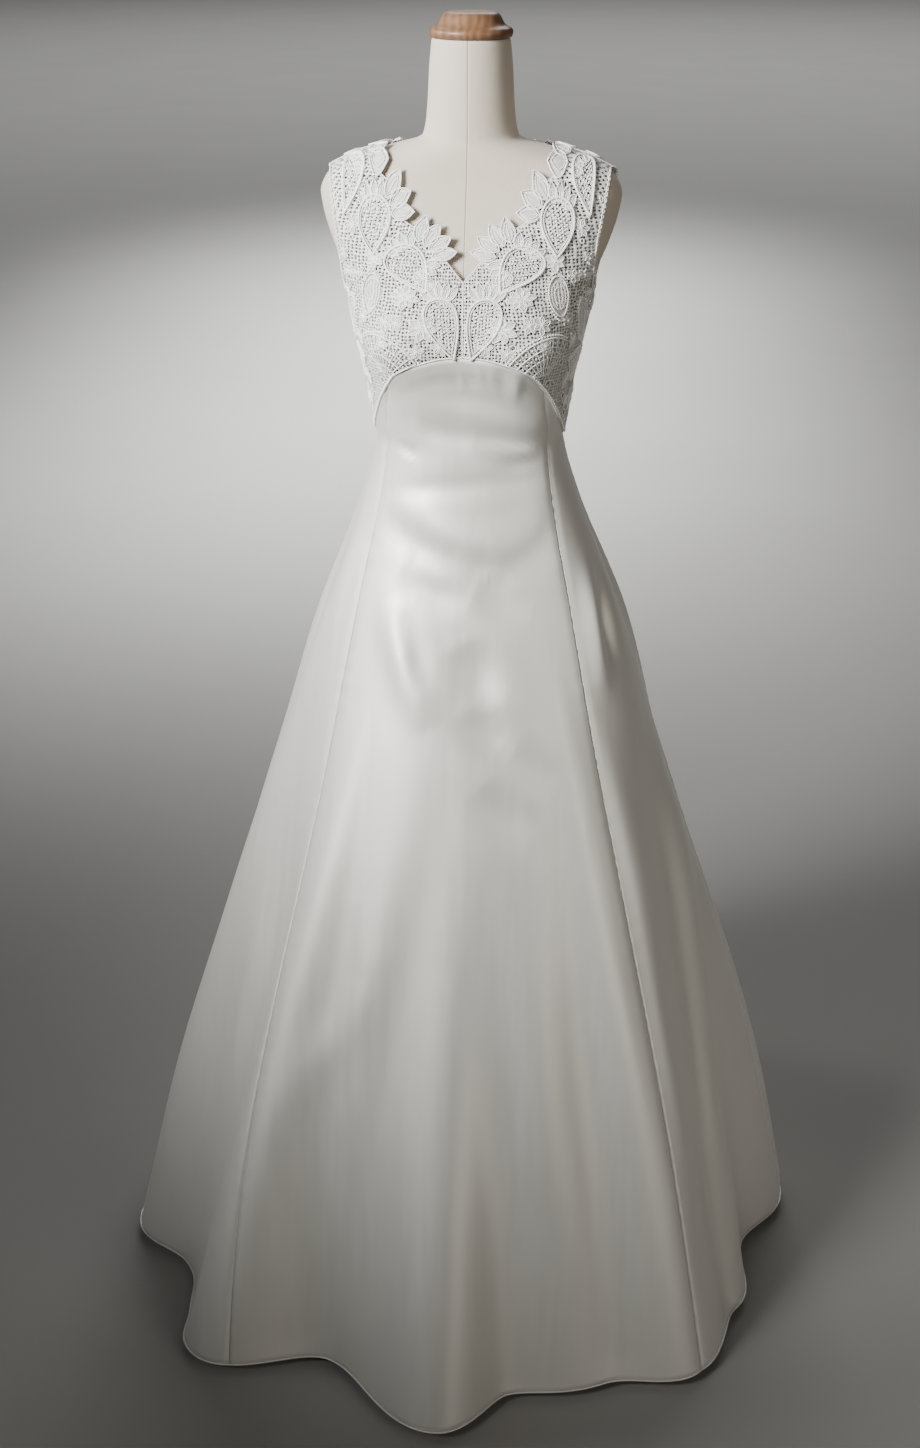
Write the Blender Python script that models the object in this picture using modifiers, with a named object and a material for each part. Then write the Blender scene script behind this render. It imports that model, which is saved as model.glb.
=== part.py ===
# Wedding dress on a limbless dress form, in metres, +Z up.
# The dress faces -Y and the wearer's left side is +X. The origin is the middle of the
# stand's underside, on the floor.

import math

import bpy
import numpy as np
from mathutils import Vector
from mathutils.geometry import delaunay_2d_cdt

# Driving sizes
HEM_HEIGHT = 0.012          # hem above the floor
WAIST_HEIGHT = 1.160        # where bodice and skirt meet at the sides and the back
NECK_TOP = 1.622            # top of the form's neck
FORM_BOTTOM = 0.870
ARM_LEVEL = 1.330           # underarm level, where the pattern starts to lean back over the shoulder
STRAP_TURN = 0.125          # pattern length for one radian of that lean
ARM_START = 0.60            # share of the half width where that lean starts from, at underarm level
SHOULDER_SPREAD = 1.15      # and where it ends, up at the shoulder seam
SHOULDER_SEAM = ARM_LEVEL + STRAP_TURN * math.pi / 2
SEAM_GAP = 0.0003

# Layers, measured outwards from the form's cloth surface
FORM_EASE = [(1.425, 0.0038), (1.478, 0.0014)]   # below the chest and over the shoulders
LINING_INNER = 0.0004
LINING_WALL = 0.0010
LACE_INNER = 0.0036
LACE_WALL = 0.0015
SATIN_INNER = 0.0008
SATIN_WALL = 0.0018

# Cord heights on the lace, above its plain face
MEDALLION_RAISE = 0.0013
FLOWER_RAISE = 0.0011
FAN_RAISE = 0.0009

# Form: height, half width, depth to the front, depth to the back, roundness power
FORM_SECTIONS = [
    (0.860, 0.1500, 0.098, 0.112, 2.20),
    (0.930, 0.1600, 0.106, 0.122, 2.20),
    (0.996, 0.1580, 0.106, 0.118, 2.20),
    (1.042, 0.1460, 0.101, 0.108, 2.20),
    (1.085, 0.1310, 0.096, 0.096, 2.20),
    (1.125, 0.1185, 0.092, 0.084, 2.25),
    (1.155, 0.1125, 0.090, 0.078, 2.30),
    (1.186, 0.1170, 0.092, 0.078, 2.35),
    (1.221, 0.1215, 0.098, 0.082, 2.40),
    (1.253, 0.1275, 0.106, 0.087, 2.40),
    (1.288, 0.1355, 0.112, 0.092, 2.40),
    (1.315, 0.1415, 0.111, 0.095, 2.40),
    (1.340, 0.1465, 0.107, 0.097, 2.40),
    (1.367, 0.1580, 0.101, 0.098, 2.40),
    (1.396, 0.1700, 0.092, 0.097, 2.40),
    (1.430, 0.1800, 0.078, 0.091, 2.35),
    (1.448, 0.1820, 0.070, 0.085, 2.30),
    (1.466, 0.1750, 0.061, 0.076, 2.30),
    (1.489, 0.1360, 0.055, 0.064, 2.20),
    (1.503, 0.0900, 0.052, 0.058, 2.10),
    (1.512, 0.0590, 0.050, 0.055, 2.00),
    (1.548, 0.0525, 0.050, 0.052, 2.00),
    (1.591, 0.0500, 0.049, 0.049, 2.00),
    (1.622, 0.0470, 0.047, 0.047, 2.00),
]
# Bust cups: how far they stand out, angle from the front, their spread, height, height spread
BUST = {"out": 0.013, "angle": 36.0, "spread": 20.0, "height": 1.285, "rise": 0.045}

# Skirt without its flutes, below the waist: same columns as the form
SKIRT_SECTIONS = [
    (0.012, 0.4320, 0.462, 0.470, 2.05),
    (0.250, 0.3860, 0.385, 0.395, 2.05),
    (0.500, 0.3200, 0.296, 0.310, 2.05),
    (0.765, 0.2390, 0.196, 0.215, 2.10),
    (0.915, 0.1960, 0.143, 0.160, 2.15),
    (0.996, 0.1660, 0.118, 0.130, 2.20),
    (1.042, 0.1480, 0.106, 0.114, 2.20),
    (1.085, 0.1325, 0.098, 0.099, 2.20),
    (1.125, 0.1195, 0.0925, 0.0855, 2.25),
    (1.155, 0.1125, 0.090, 0.078, 2.30),
]

# Flutes of the hem, one row for each ridge and each valley between two ridges:
# angle from the front towards +X, hem radius there, height where it starts to show
HEM_FLUTES = [
    (-166, 0.432, 0.70),
    (-148, 0.482, 0.85),
    (-129, 0.424, 0.80),
    (-109, 0.470, 0.90),
    (-91, 0.440, 0.90),
    (-73, 0.482, 0.95),
    (-58, 0.428, 0.80),
    (-39, 0.517, 0.85),
    (-21, 0.419, 0.55),
    (0, 0.510, 0.55),
    (12, 0.446, 0.45),
    (27, 0.456, 0.50),
    (41, 0.499, 0.90),
    (57, 0.457, 0.80),
    (75, 0.410, 0.80),
    (91, 0.458, 0.95),
    (109, 0.424, 0.80),
    (127, 0.474, 0.90),
    (144, 0.426, 0.75),
    (160, 0.486, 0.80),
    (176, 0.438, 0.60),
]
FLUTE_GROWTH = 1.35

# Princess seams of the skirt front: height, angle on the wearer's right, angle on the left
PRINCESS_SEAMS = [
    (0.012, -34.0, 42.0),
    (0.250, -38.0, 44.0),
    (0.500, -43.0, 46.5),
    (0.765, -49.0, 50.5),
    (0.915, -53.0, 53.5),
    (1.042, -57.5, 57.5),
    (1.125, -60.0, 60.5),
    (1.160, -61.0, 61.5),
    (1.190, -57.5, 57.5),
    (1.225, -51.0, 51.0),
]
SIDE_SEAM = 90.0
BACK_SEAM = 141.0

# Top edge of the satin: pattern distance from the centre front, height
ARCH = [
    (0.000, 1.2775),
    (0.025, 1.2755),
    (0.050, 1.2690),
    (0.072, 1.2600),
    (0.107, 1.2340),
    (0.130, 1.2130),
    (0.155, 1.1880),
    (0.184, 1.1680),
    (0.2095, 1.1600),
]

# Neck petals, one fan round each medallion, from the centre outwards:
# centre across, centre height, radius of the notches, radius of the tips, first angle, last angle, petals
FRONT_PETALS = [
    (0.0600, 1.3940, 0.0385, 0.0540, 178.0, 98.0, 4),
    (0.1040, 1.4500, 0.0340, 0.0480, 192.0, 122.0, 3),
    (0.1340, 1.5020, 0.0420, 0.0500, 204.0, 150.0, 2),
]
BACK_PETALS = [
    (0.0400, 1.4150, 0.0290, 0.0410, 184.0, 82.0, 4),
    (0.0960, 1.4620, 0.0300, 0.0420, 196.0, 100.0, 4),
    (0.1340, 1.5040, 0.0360, 0.0450, 196.0, 150.0, 2),
]
NECK_POINT = {"front": 1.366, "back": 1.410}
# Armhole edge from the shoulder seam to the side seam: across, height
ARMHOLE = [
    (0.188, 1.512),
    (0.177, 1.492),
    (0.167, 1.470),
    (0.160, 1.445),
    (0.158, 1.412),
    (0.166, 1.372),
    (0.186, 1.345),
]
SHOULDER_END = 0.190

# Paisley medallions: across, height, head radius, tail length, direction of the tail
FRONT_MEDALLIONS = [
    (0.0250, 1.3270, 0.0195, 0.046, -78.0),
    (0.0650, 1.3920, 0.0225, 0.048, -86.0),
    (0.1060, 1.4490, 0.0185, 0.040, -62.0),
    (0.1420, 1.5000, 0.0155, 0.034, -66.0),
    (0.1130, 1.3480, 0.0150, 0.056, -80.0),
]
BACK_MEDALLIONS = [
    (0.0280, 1.3300, 0.0200, 0.046, -82.0),
    (0.0440, 1.4110, 0.0190, 0.042, -88.0),
    (0.0980, 1.4610, 0.0180, 0.040, -62.0),
    (0.1400, 1.5020, 0.0150, 0.032, -66.0),
    (0.0270, 1.2370, 0.0200, 0.050, -80.0),
    (0.1150, 1.3300, 0.0190, 0.052, -80.0),
    (0.1180, 1.2270, 0.0170, 0.040, -80.0),
]
# Flowers: across, height, petal length, petals, turn
FRONT_FLOWERS = [
    (0.0680, 1.3300, 0.0150, 6, 10.0),
    (0.1050, 1.3960, 0.0120, 5, 40.0),
    (0.1400, 1.4480, 0.0110, 5, 15.0),
    (0.1450, 1.2480, 0.0130, 6, 0.0),
]
BACK_FLOWERS = [
    (0.0750, 1.3600, 0.0150, 6, 10.0),
    (0.0720, 1.2700, 0.0150, 6, 20.0),
    (0.1300, 1.4050, 0.0140, 5, 15.0),
    (0.1650, 1.2800, 0.0140, 6, 0.0),
    (0.0750, 1.1950, 0.0140, 6, 0.0),
]
# Fans: across, height of the root, radius, first angle, last angle, ribs
FRONT_FANS = [
    (0.0990, 1.2590, 0.0340, 15.0, 175.0, 7),
    (0.1750, 1.2760, 0.0300, 20.0, 165.0, 6),
]
BACK_FANS = [
    (0.1700, 1.1900, 0.0280, 20.0, 165.0, 6),
]
# Open gaps of the lace ground: pitch across and up, smallest and largest radius, corners
GAP_PITCH = {"front": 0.0275, "back": 0.0350}
GAPS = {"small": 0.0024, "large": 0.0046, "corners": 6, "clear": 0.0036}
# Spacing of plain points on the panels, and over the shoulder, where the form turns sharply
LACE_PITCH = (0.0215, 0.0118)
LINING_PITCH = (0.0270, 0.0118)
SHOULDER_START = 1.455
SLIVER = 2e-9               # twice the area below which a flat triangle is left out

# Skirt grid: heights of the rows from the hem up, then shares of the rest up to the top edge
SKIRT_ROWS = [HEM_HEIGHT, 0.160, 0.320, 0.480, 0.630, 0.760, 0.860, 0.940, 1.000, 1.050, 1.090, 1.125, 1.150]
TOP_SHARES = {"arched": [0.25, 0.50, 0.75, 1.0], "level": [1.0]}
# Columns of each gore
GORE_COLUMNS = {"front": 22, "side front": 9, "side back": 11, "back": 9}

COLOURS = {
    "satin": (0.80, 0.80, 0.77),
    "lace": (0.86, 0.86, 0.84),
    "lining": (0.78, 0.78, 0.76),
    "form cloth": (0.72, 0.67, 0.58),
    "wood": (0.42, 0.22, 0.11),
    "stand": (0.10, 0.10, 0.10),
}


def clear_scene():
    for item in list(bpy.data.objects):
        bpy.data.objects.remove(item, do_unlink=True)


def make_material(name, colour, roughness, metallic=0.0):
    material = bpy.data.materials.new(name)
    material.use_nodes = True
    shader = material.node_tree.nodes["Principled BSDF"]
    shader.inputs["Base Color"].default_value = (*colour, 1.0)
    shader.inputs["Roughness"].default_value = roughness
    shader.inputs["Metallic"].default_value = metallic
    return material


def add_object(name, points, faces, material, collection):
    mesh = bpy.data.meshes.new(name)
    mesh.from_pydata([tuple(point) for point in points], [], faces)
    mesh.validate()
    mesh.shade_smooth()
    mesh.set_sharp_from_angle(angle=math.radians(35))
    mesh.materials.append(material)
    item = bpy.data.objects.new(name, mesh)
    collection.objects.link(item)
    return item


def read_curve(rows, column, at):
    """Smooth curve through one column of a table, with no overshoot between its rows."""
    where = np.array([row[0] for row in rows], float)
    value = np.array([row[column] for row in rows], float)
    step = np.diff(where)
    slope = np.diff(value) / step
    tangent = np.zeros_like(value)
    tangent[0], tangent[-1] = slope[0], slope[-1]
    for i in range(1, len(where) - 1):
        if slope[i - 1] * slope[i] > 0:
            before = 2 * step[i] + step[i - 1]
            after = step[i] + 2 * step[i - 1]
            tangent[i] = (before + after) / (before / slope[i - 1] + after / slope[i])
    at = np.clip(at, where[0], where[-1])
    k = np.clip(np.searchsorted(where, at) - 1, 0, len(where) - 2)
    t = (at - where[k]) / step[k]
    start = value[k] * (1 + 2 * t) * (1 - t) ** 2 + tangent[k] * step[k] * t * (1 - t) ** 2
    end = value[k + 1] * t * t * (3 - 2 * t) + tangent[k + 1] * step[k] * t * t * (t - 1)
    return start + end


def section_radius(rows, angle, height):
    """Distance from the upright axis to a rounded section, in a direction measured from the front."""
    half = read_curve(rows, 1, height)
    front = read_curve(rows, 2, height)
    back = read_curve(rows, 3, height)
    power = read_curve(rows, 4, height)
    depth = np.where(np.cos(angle) > 0, front, back)
    across = np.abs(np.sin(angle)) / half
    along = np.abs(np.cos(angle)) / depth
    return (across ** power + along ** power) ** (-1 / power)


def form_radius(angle, height):
    turned = (angle + math.pi) % (2 * math.pi) - math.pi
    aside = (np.abs(turned) - math.radians(BUST["angle"])) / math.radians(BUST["spread"])
    above = (height - BUST["height"]) / BUST["rise"]
    return section_radius(FORM_SECTIONS, angle, height) + BUST["out"] * np.exp(-aside ** 2 - above ** 2)


def flute_shape(angle):
    """Hem radius and start height of the flutes at an angle, easing from ridge to valley."""
    rows = HEM_FLUTES + [(HEM_FLUTES[0][0] + 360, *HEM_FLUTES[0][1:])]
    turn = np.array([row[0] for row in rows], float)
    radius = np.array([row[1] for row in rows])
    starts = np.array([row[2] for row in rows])
    degrees = (np.degrees(angle) - turn[0]) % 360 + turn[0]
    k = np.clip(np.searchsorted(turn, degrees, side="right") - 1, 0, len(turn) - 2)
    ease = 0.5 - 0.5 * np.cos(math.pi * (degrees - turn[k]) / (turn[k + 1] - turn[k]))
    return radius[k] + (radius[k + 1] - radius[k]) * ease, starts[k] + (starts[k + 1] - starts[k]) * ease


def skirt_radius(angle, height):
    plain = section_radius(SKIRT_SECTIONS, angle, height)
    hem, starts = flute_shape(angle)
    share = np.clip((starts - height) / (starts - HEM_HEIGHT), 0, 1) ** FLUTE_GROWTH
    below = plain + (hem - section_radius(SKIRT_SECTIONS, angle, HEM_HEIGHT)) * share
    return np.where(height > SKIRT_SECTIONS[-1][0], form_radius(angle, height), below)


def around(radius, angle, height):
    """Points at a radius, an angle from the front and a height."""
    return np.stack([radius * np.sin(angle), -radius * np.cos(angle), height + 0 * angle], axis=-1)


def skirt_surface(angle, height, away):
    """Skirt points moved off the cloth surface along its normal."""
    step = 1e-4
    here = around(skirt_radius(angle, height), angle, height)
    aside = around(skirt_radius(angle + step, height), angle + step, height) - here
    above = around(skirt_radius(angle, height + step), angle, height + step) - here
    normal = np.cross(aside, above)
    normal /= np.linalg.norm(normal, axis=-1, keepdims=True)
    return here + normal * away


class Pattern:
    """Flat pattern of one bodice half, front or back, laid on the form."""

    def __init__(self, facing):
        self.facing = facing
        angle = np.linspace(0, math.pi / 2, 361)
        true_angle = angle if facing == "front" else math.pi - angle
        ring = around(form_radius(true_angle, ARM_LEVEL + 0 * angle), true_angle, ARM_LEVEL)
        length = np.linalg.norm(np.diff(ring[:, :2], axis=0), axis=1)
        self.angle = angle
        self.along = np.concatenate([[0], np.cumsum(length)])
        self.aside = ring[:, 0]
        self.depth_there = ring[:, 1]
        self.side = self.along[-1]

    def to_angle(self, across):
        angle = np.sign(across) * np.interp(np.abs(across), self.along, self.angle)
        return angle if self.facing == "front" else math.pi - angle

    def lay(self, flat, away):
        """Points on the form for flat points, moved off it along its normal."""
        flat = np.asarray(flat, float)
        across, height = flat[:, 0], flat[:, 1]
        angle = self.to_angle(across)
        low = around(form_radius(angle, height), angle, height)
        lean = np.clip((height - ARM_LEVEL) / STRAP_TURN, 0, math.pi / 2)
        share = lean / (math.pi / 2)
        ring_x = np.sign(across) * np.interp(np.abs(across), self.along, self.aside)
        ring_y = np.interp(np.abs(across), self.along, self.depth_there)
        start_x = ring_x * (ARM_START + (SHOULDER_SPREAD - ARM_START) * share)
        aim_x = ring_x * (1 - ARM_START) * (1 - share)
        aim = np.hypot(aim_x, ring_y)

        def reach(t):
            x = start_x + t * np.cos(lean) * aim_x / aim
            y = t * np.cos(lean) * ring_y / aim
            return np.stack([x, y, ARM_LEVEL + t * np.sin(lean)], axis=-1)

        outside = np.full(len(flat), 0.30)
        inside = np.zeros(len(flat))
        for t in np.linspace(0.28, 0.0, 71):
            hit = (self.depth(reach(t)) < 0) & (inside == 0)
            inside = np.where(hit, t, inside)
            outside = np.where(inside == 0, t, outside)
        for _ in range(26):
            middle = (inside + outside) / 2
            hit = self.depth(reach(middle)) < 0
            inside = np.where(hit, middle, inside)
            outside = np.where(hit, outside, middle)
        high = reach(outside)
        points = np.where((height > ARM_LEVEL)[:, None], high, low)
        return points + self.normal(points) * np.reshape(away, (-1, 1))

    def depth(self, points):
        angle = np.arctan2(points[..., 0], -points[..., 1])
        return np.hypot(points[..., 0], points[..., 1]) - form_radius(angle, points[..., 2])

    def normal(self, points):
        step = 5e-4
        parts = [self.depth(points + step * axis) - self.depth(points - step * axis) for axis in np.eye(3)]
        normal = np.stack(parts, axis=-1)
        return normal / np.linalg.norm(normal, axis=-1, keepdims=True)


def wall(name, inner, outer, faces, material, collection):
    """Closed cloth wall from matching inner and outer points, with a rim along each open edge."""
    count = len(outer)
    edges = {}
    for face in faces:
        for a, b in zip(face, face[1:] + face[:1]):
            edges[(a, b)] = True
    sides = [tuple(face) for face in faces]
    sides += [tuple(i + count for i in reversed(face)) for face in faces]
    sides += [(b, a, a + count, b + count) for (a, b) in edges if (b, a) not in edges]
    return add_object(name, list(outer) + list(inner), sides, material, collection)


def arch_height(pattern, across):
    return read_curve(ARCH, 1, np.abs(across) * ARCH[-1][0] / pattern.side)


def top_edge(pattern, angle):
    """Height of the skirt's top edge at an angle from the front, arched over the front half."""
    turned = np.abs(angle)
    across = np.interp(turned, pattern.angle, pattern.along)
    return np.where(turned < math.pi / 2, arch_height(pattern, across), WAIST_HEIGHT)


def seam_angle(seam, height):
    """Angle of a skirt seam at a height. Negative seams lie on the wearer's right."""
    if abs(seam) == 1:
        return np.radians(read_curve(PRINCESS_SEAMS, 1 if seam < 0 else 2, height))
    fixed = {2: SIDE_SEAM, 3: BACK_SEAM, 4: 180.0}[abs(seam)]
    return np.radians(math.copysign(fixed, seam)) + 0 * height


def skirt_gore(name, seams, columns, shares, pattern, material, collection):
    """One gore between two seams, from the hem to the top edge."""
    first, last = seams
    share = np.linspace(0, 1, columns + 1)
    joint = PRINCESS_SEAMS[-1][0]
    ends = [seam_angle(seam, np.array(joint)) for seam in seams]
    top = top_edge(pattern, ends[0] + (ends[1] - ends[0]) * share) - SEAM_GAP / 2
    rows = [row + 0 * top for row in SKIRT_ROWS]
    rows += [SKIRT_ROWS[-1] + (top - SKIRT_ROWS[-1]) * part for part in shares]
    inner, outer = [], []
    for height in rows:
        from_angle, to_angle = seam_angle(first, height[0]), seam_angle(last, height[-1])
        trim = SEAM_GAP / 2 / skirt_radius(from_angle, height[0])
        angle = (from_angle + trim) * (1 - share) + (to_angle - trim) * share
        inner += list(skirt_surface(angle, height, SATIN_INNER))
        outer += list(skirt_surface(angle, height, SATIN_INNER + SATIN_WALL))
    width = columns + 1
    faces = []
    for row in range(len(rows) - 1):
        for column in range(columns):
            corner = row * width + column
            faces.append([corner, corner + 1, corner + 1 + width, corner + width])
    return wall(name, inner, outer, faces, material, collection)


def column_angles(facing):
    """Angles of the gore columns over one bodice half, from its centre to the side seam."""
    if facing == "front":
        seam, columns = PRINCESS_SEAMS[-1][2], (GORE_COLUMNS["front"] // 2, GORE_COLUMNS["side front"])
    else:
        seam, columns = 180.0 - BACK_SEAM, (GORE_COLUMNS["back"], GORE_COLUMNS["side back"])
    near = [seam * i / columns[0] for i in range(columns[0])]
    far = [seam + (SIDE_SEAM - seam) * i / columns[1] for i in range(columns[1])]
    return np.radians(near + far)


def petal_edge(rows):
    """Neck edge from the centre out to the shoulder: notches and pointed tips round each fan."""
    edge = []
    for across, height, notch, tip, first, last, petals in rows:
        for i in range(2 * petals + 1):
            angle = math.radians(first + (last - first) * i / (2 * petals))
            radius = tip if i % 2 else notch
            edge.append((across + radius * math.cos(angle), height + radius * math.sin(angle)))
    return edge


def round_edge(rows, inset):
    """Neck edge of the lining: a plain curve that stays inside the notches."""
    edge = []
    for across, height, notch, _, first, last, _ in rows:
        for share in (0.08, 0.5, 0.92):
            angle = math.radians(first + (last - first) * share)
            radius = notch - inset
            edge.append((across + radius * math.cos(angle), height + radius * math.sin(angle)))
    return edge


def split_long(edge, pitches):
    """Closed edge with points added so that no stretch is too long for the form's curve."""
    points = []
    for (x0, y0), (x1, y1) in zip(edge, edge[1:] + edge[:1]):
        longest = pitches[1] if max(y0, y1) > SHOULDER_START else pitches[0]
        steps = max(1, math.ceil(math.hypot(x1 - x0, y1 - y0) / longest))
        points += [(x0 + (x1 - x0) * i / steps, y0 + (y1 - y0) * i / steps) for i in range(steps)]
    return points


def panel_edge(pattern, facing, neck, inset, pitches):
    """Closed edge of a bodice panel on the wearer's left, in pattern coordinates."""
    gap = SEAM_GAP / 2
    across = np.interp(column_angles(facing), pattern.angle, pattern.along)
    height = arch_height(pattern, across) if facing == "front" else WAIST_HEIGHT + 0 * across
    lower = [(float(x), float(y) + gap) for x, y in zip(across[1:], height[1:])][::-1]
    bottom = [(gap, float(height[0]) + gap)]
    neck = [(gap, NECK_POINT[facing] - inset)] + [point for point in neck if point[0] > gap]
    neck = [point for point in neck if point[1] < SHOULDER_SEAM - 0.002]
    shoulder = [(neck[-1][0], SHOULDER_SEAM - gap), (SHOULDER_END - inset, SHOULDER_SEAM - gap)]
    armhole = [(x - inset, y) for x, y in ARMHOLE]
    side = [(pattern.side - gap, ARM_LEVEL - inset), (pattern.side - gap, WAIST_HEIGHT + gap)]
    return split_long(bottom + neck + shoulder + armhole + side + lower, pitches)


def inside_edge(edge, point):
    x, y = point
    inside = False
    for (x0, y0), (x1, y1) in zip(edge, edge[1:] + edge[:1]):
        if (y0 > y) != (y1 > y) and x < x0 + (x1 - x0) * (y - y0) / (y1 - y0):
            inside = not inside
    return inside


def distance_to(points, point):
    if not points:
        return math.inf
    return min(math.hypot(x - point[0], y - point[1]) for x, y in points)


def medallion(row):
    """Closed drop outline: a round head and a curved tail."""
    across, height, head, tail, turn = row
    outline = []
    for i in range(10):
        angle = math.radians(turn + 180 + (i - 4.5) * 31)
        outline.append((across + head * math.cos(angle), height + head * math.sin(angle)))
    heading = math.radians(turn)
    outline.append((across + tail * math.cos(heading), height + tail * math.sin(heading)))
    return outline


def flower(row):
    """Centre and petal tips of a flower."""
    across, height, length, petals, turn = row
    points = [(across, height)]
    for i in range(petals):
        angle = math.radians(turn + 360 * i / petals)
        points.append((across + length * math.cos(angle), height + length * math.sin(angle)))
    return points


def fan(row):
    """Root of a fan and the ends of its ribs."""
    across, height, radius, first, last, ribs = row
    points = [(across, height)]
    for i in range(ribs):
        angle = math.radians(first + (last - first) * i / (ribs - 1))
        points.append((across + radius * math.cos(angle), height + radius * math.sin(angle)))
    return points


class FlatMesh:
    """Points, fixed edges and heights that a panel's triangles are laid through."""

    def __init__(self):
        self.points = []
        self.edges = []
        self.raised = []

    def add(self, points, raised, links):
        first = len(self.points)
        self.points += points
        self.raised += [raised] * len(points)
        self.edges += [(first + a, first + b) for a, b in links]

    def ring(self, points, raised=0.0):
        self.add(points, raised, [(i, (i + 1) % len(points)) for i in range(len(points))])

    def star(self, points, raised):
        self.add(points, raised, [(0, i) for i in range(1, len(points))])

    def open_spot(self, point, clear):
        return distance_to(self.points, point) > clear

    def triangles(self, edge, holes):
        """Triangles inside the edge and outside the holes, with each point's height."""
        flat = [Vector(point) for point in self.points]
        points, _, faces, origin, _, _ = delaunay_2d_cdt(flat, self.edges, [], 0, 1e-7)
        kept = []
        for face in faces:
            middle = sum((points[i] for i in face), Vector((0, 0))) / len(face)
            a, b, c = (points[i] for i in face)
            if (b - a).cross(c - a) < SLIVER:
                continue
            if inside_edge(edge, middle) and not any(inside_edge(hole, middle) for hole in holes):
                kept.append(list(face))
        used = sorted({i for face in kept for i in face})
        place = {old: new for new, old in enumerate(used)}
        raised = [max((self.raised[j] for j in origin[i]), default=0.0) for i in used]
        return [tuple(points[i]) for i in used], raised, [[place[i] for i in face] for face in kept]


def grid_spots(pattern, pitch, low, high):
    """Staggered spots over a panel half."""
    rows = int((high - low) / (pitch * 0.87)) + 1
    for j in range(rows):
        for i in range(int(pattern.side / pitch) + 1):
            yield ((i + 0.5 + 0.5 * (j % 2)) * pitch, low + j * pitch * 0.87)


def fill_plain(flat, pattern, edge, pitches):
    """Plain points wherever the panel is still bare, closer together over the shoulder."""
    spans = ((WAIST_HEIGHT, SHOULDER_START), (SHOULDER_START, SHOULDER_SEAM))
    for pitch, (low, high) in zip(pitches, spans):
        for spot in grid_spots(pattern, pitch, low, high):
            if inside_edge(edge, spot) and flat.open_spot(spot, pitch * 0.66):
                flat.add([spot], 0.0, [])


def polygon(centre, radius, corners, turn):
    angles = [turn + 2 * math.pi * i / corners for i in range(corners)]
    return [(centre[0] + radius * math.cos(a), centre[1] + radius * math.sin(a)) for a in angles]


def lace_pattern(pattern, facing, edge, motifs):
    """Flat lace: its edge, motifs, gaps cut through and plain points between them."""
    flat = FlatMesh()
    flat.ring(edge)
    medallions, flowers, fans = motifs
    rings = []
    for row in medallions:
        outline = medallion(row)
        inner = [point for point in outline if inside_edge(edge, point) and flat.open_spot(point, 0.0035)]
        if len(inner) > 8:
            flat.ring(inner, MEDALLION_RAISE)
            rings.append(inner)
    for rows, shape, raised in ((flowers, flower, FLOWER_RAISE), (fans, fan, FAN_RAISE)):
        for row in rows:
            points = shape(row)
            spots = [p for p in points if inside_edge(edge, p) and flat.open_spot(p, 0.0035)]
            spots = [p for p in spots if not any(inside_edge(ring, p) for ring in rings)]
            if spots and spots[0] == points[0]:
                flat.star(spots, raised)
    holes = []
    for spot in grid_spots(pattern, GAP_PITCH[facing], WAIST_HEIGHT + 0.010, SHOULDER_SEAM):
        if not inside_edge(edge, spot) or any(inside_edge(ring, spot) for ring in rings):
            continue
        lowness = (SHOULDER_SEAM - spot[1]) / (SHOULDER_SEAM - WAIST_HEIGHT)
        sideways = spot[0] / pattern.side
        radius = GAPS["small"] + (GAPS["large"] - GAPS["small"]) * min(1.0, lowness * (0.5 + 0.7 * sideways))
        if flat.open_spot(spot, radius + GAPS["clear"]):
            hole = polygon(spot, radius, GAPS["corners"], 0.4)
            flat.ring(hole)
            holes.append(hole)
    fill_plain(flat, pattern, edge, LACE_PITCH)
    return flat.triangles(edge, holes), len(holes)


def plain_pattern(pattern, edge):
    flat = FlatMesh()
    flat.ring(edge)
    fill_plain(flat, pattern, edge, LINING_PITCH)
    return flat.triangles(edge, [])


def lay_panel(name, pattern, flat, side, inner, thickness, material, collection):
    """Wall of a flat panel laid on the form, on the wearer's left (1) or right (-1)."""
    points, raised, faces = flat
    placed = [(side * x, y) for x, y in points]
    outward = side if pattern.facing == "front" else -side
    if outward < 0:
        faces = [list(reversed(face)) for face in faces]
    inner_points = pattern.lay(placed, np.full(len(placed), inner))
    outer_points = pattern.lay(placed, inner + thickness + np.array(raised))
    return wall(name, inner_points, outer_points, faces, material, collection)


def build_bodice(front, back, collection):
    lace = make_material("guipure lace", COLOURS["lace"], 0.75)
    lining = make_material("bodice lining", COLOURS["lining"], 0.60)
    gaps = 0
    for pattern, facing, petals, motifs in (
        (front, "front", FRONT_PETALS, (FRONT_MEDALLIONS, FRONT_FLOWERS, FRONT_FANS)),
        (back, "back", BACK_PETALS, (BACK_MEDALLIONS, BACK_FLOWERS, BACK_FANS)),
    ):
        lace_edge = panel_edge(pattern, facing, petal_edge(petals), 0.0, LACE_PITCH)
        lace_flat, holes = lace_pattern(pattern, facing, lace_edge, motifs)
        inset = 0.003
        lining_edge = panel_edge(pattern, facing, round_edge(petals, inset), inset, LINING_PITCH)
        lining_flat = plain_pattern(pattern, lining_edge)
        gaps += 2 * holes
        for side, word in ((1, "left"), (-1, "right")):
            lay_panel(f"lace_{facing}_{word}", pattern, lace_flat, side, LACE_INNER, LACE_WALL, lace, collection)
            lay_panel(f"lining_{facing}_{word}", pattern, lining_flat, side,
                      LINING_INNER, LINING_WALL, lining, collection)
    print("lace gaps cut through:", gaps)


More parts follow.
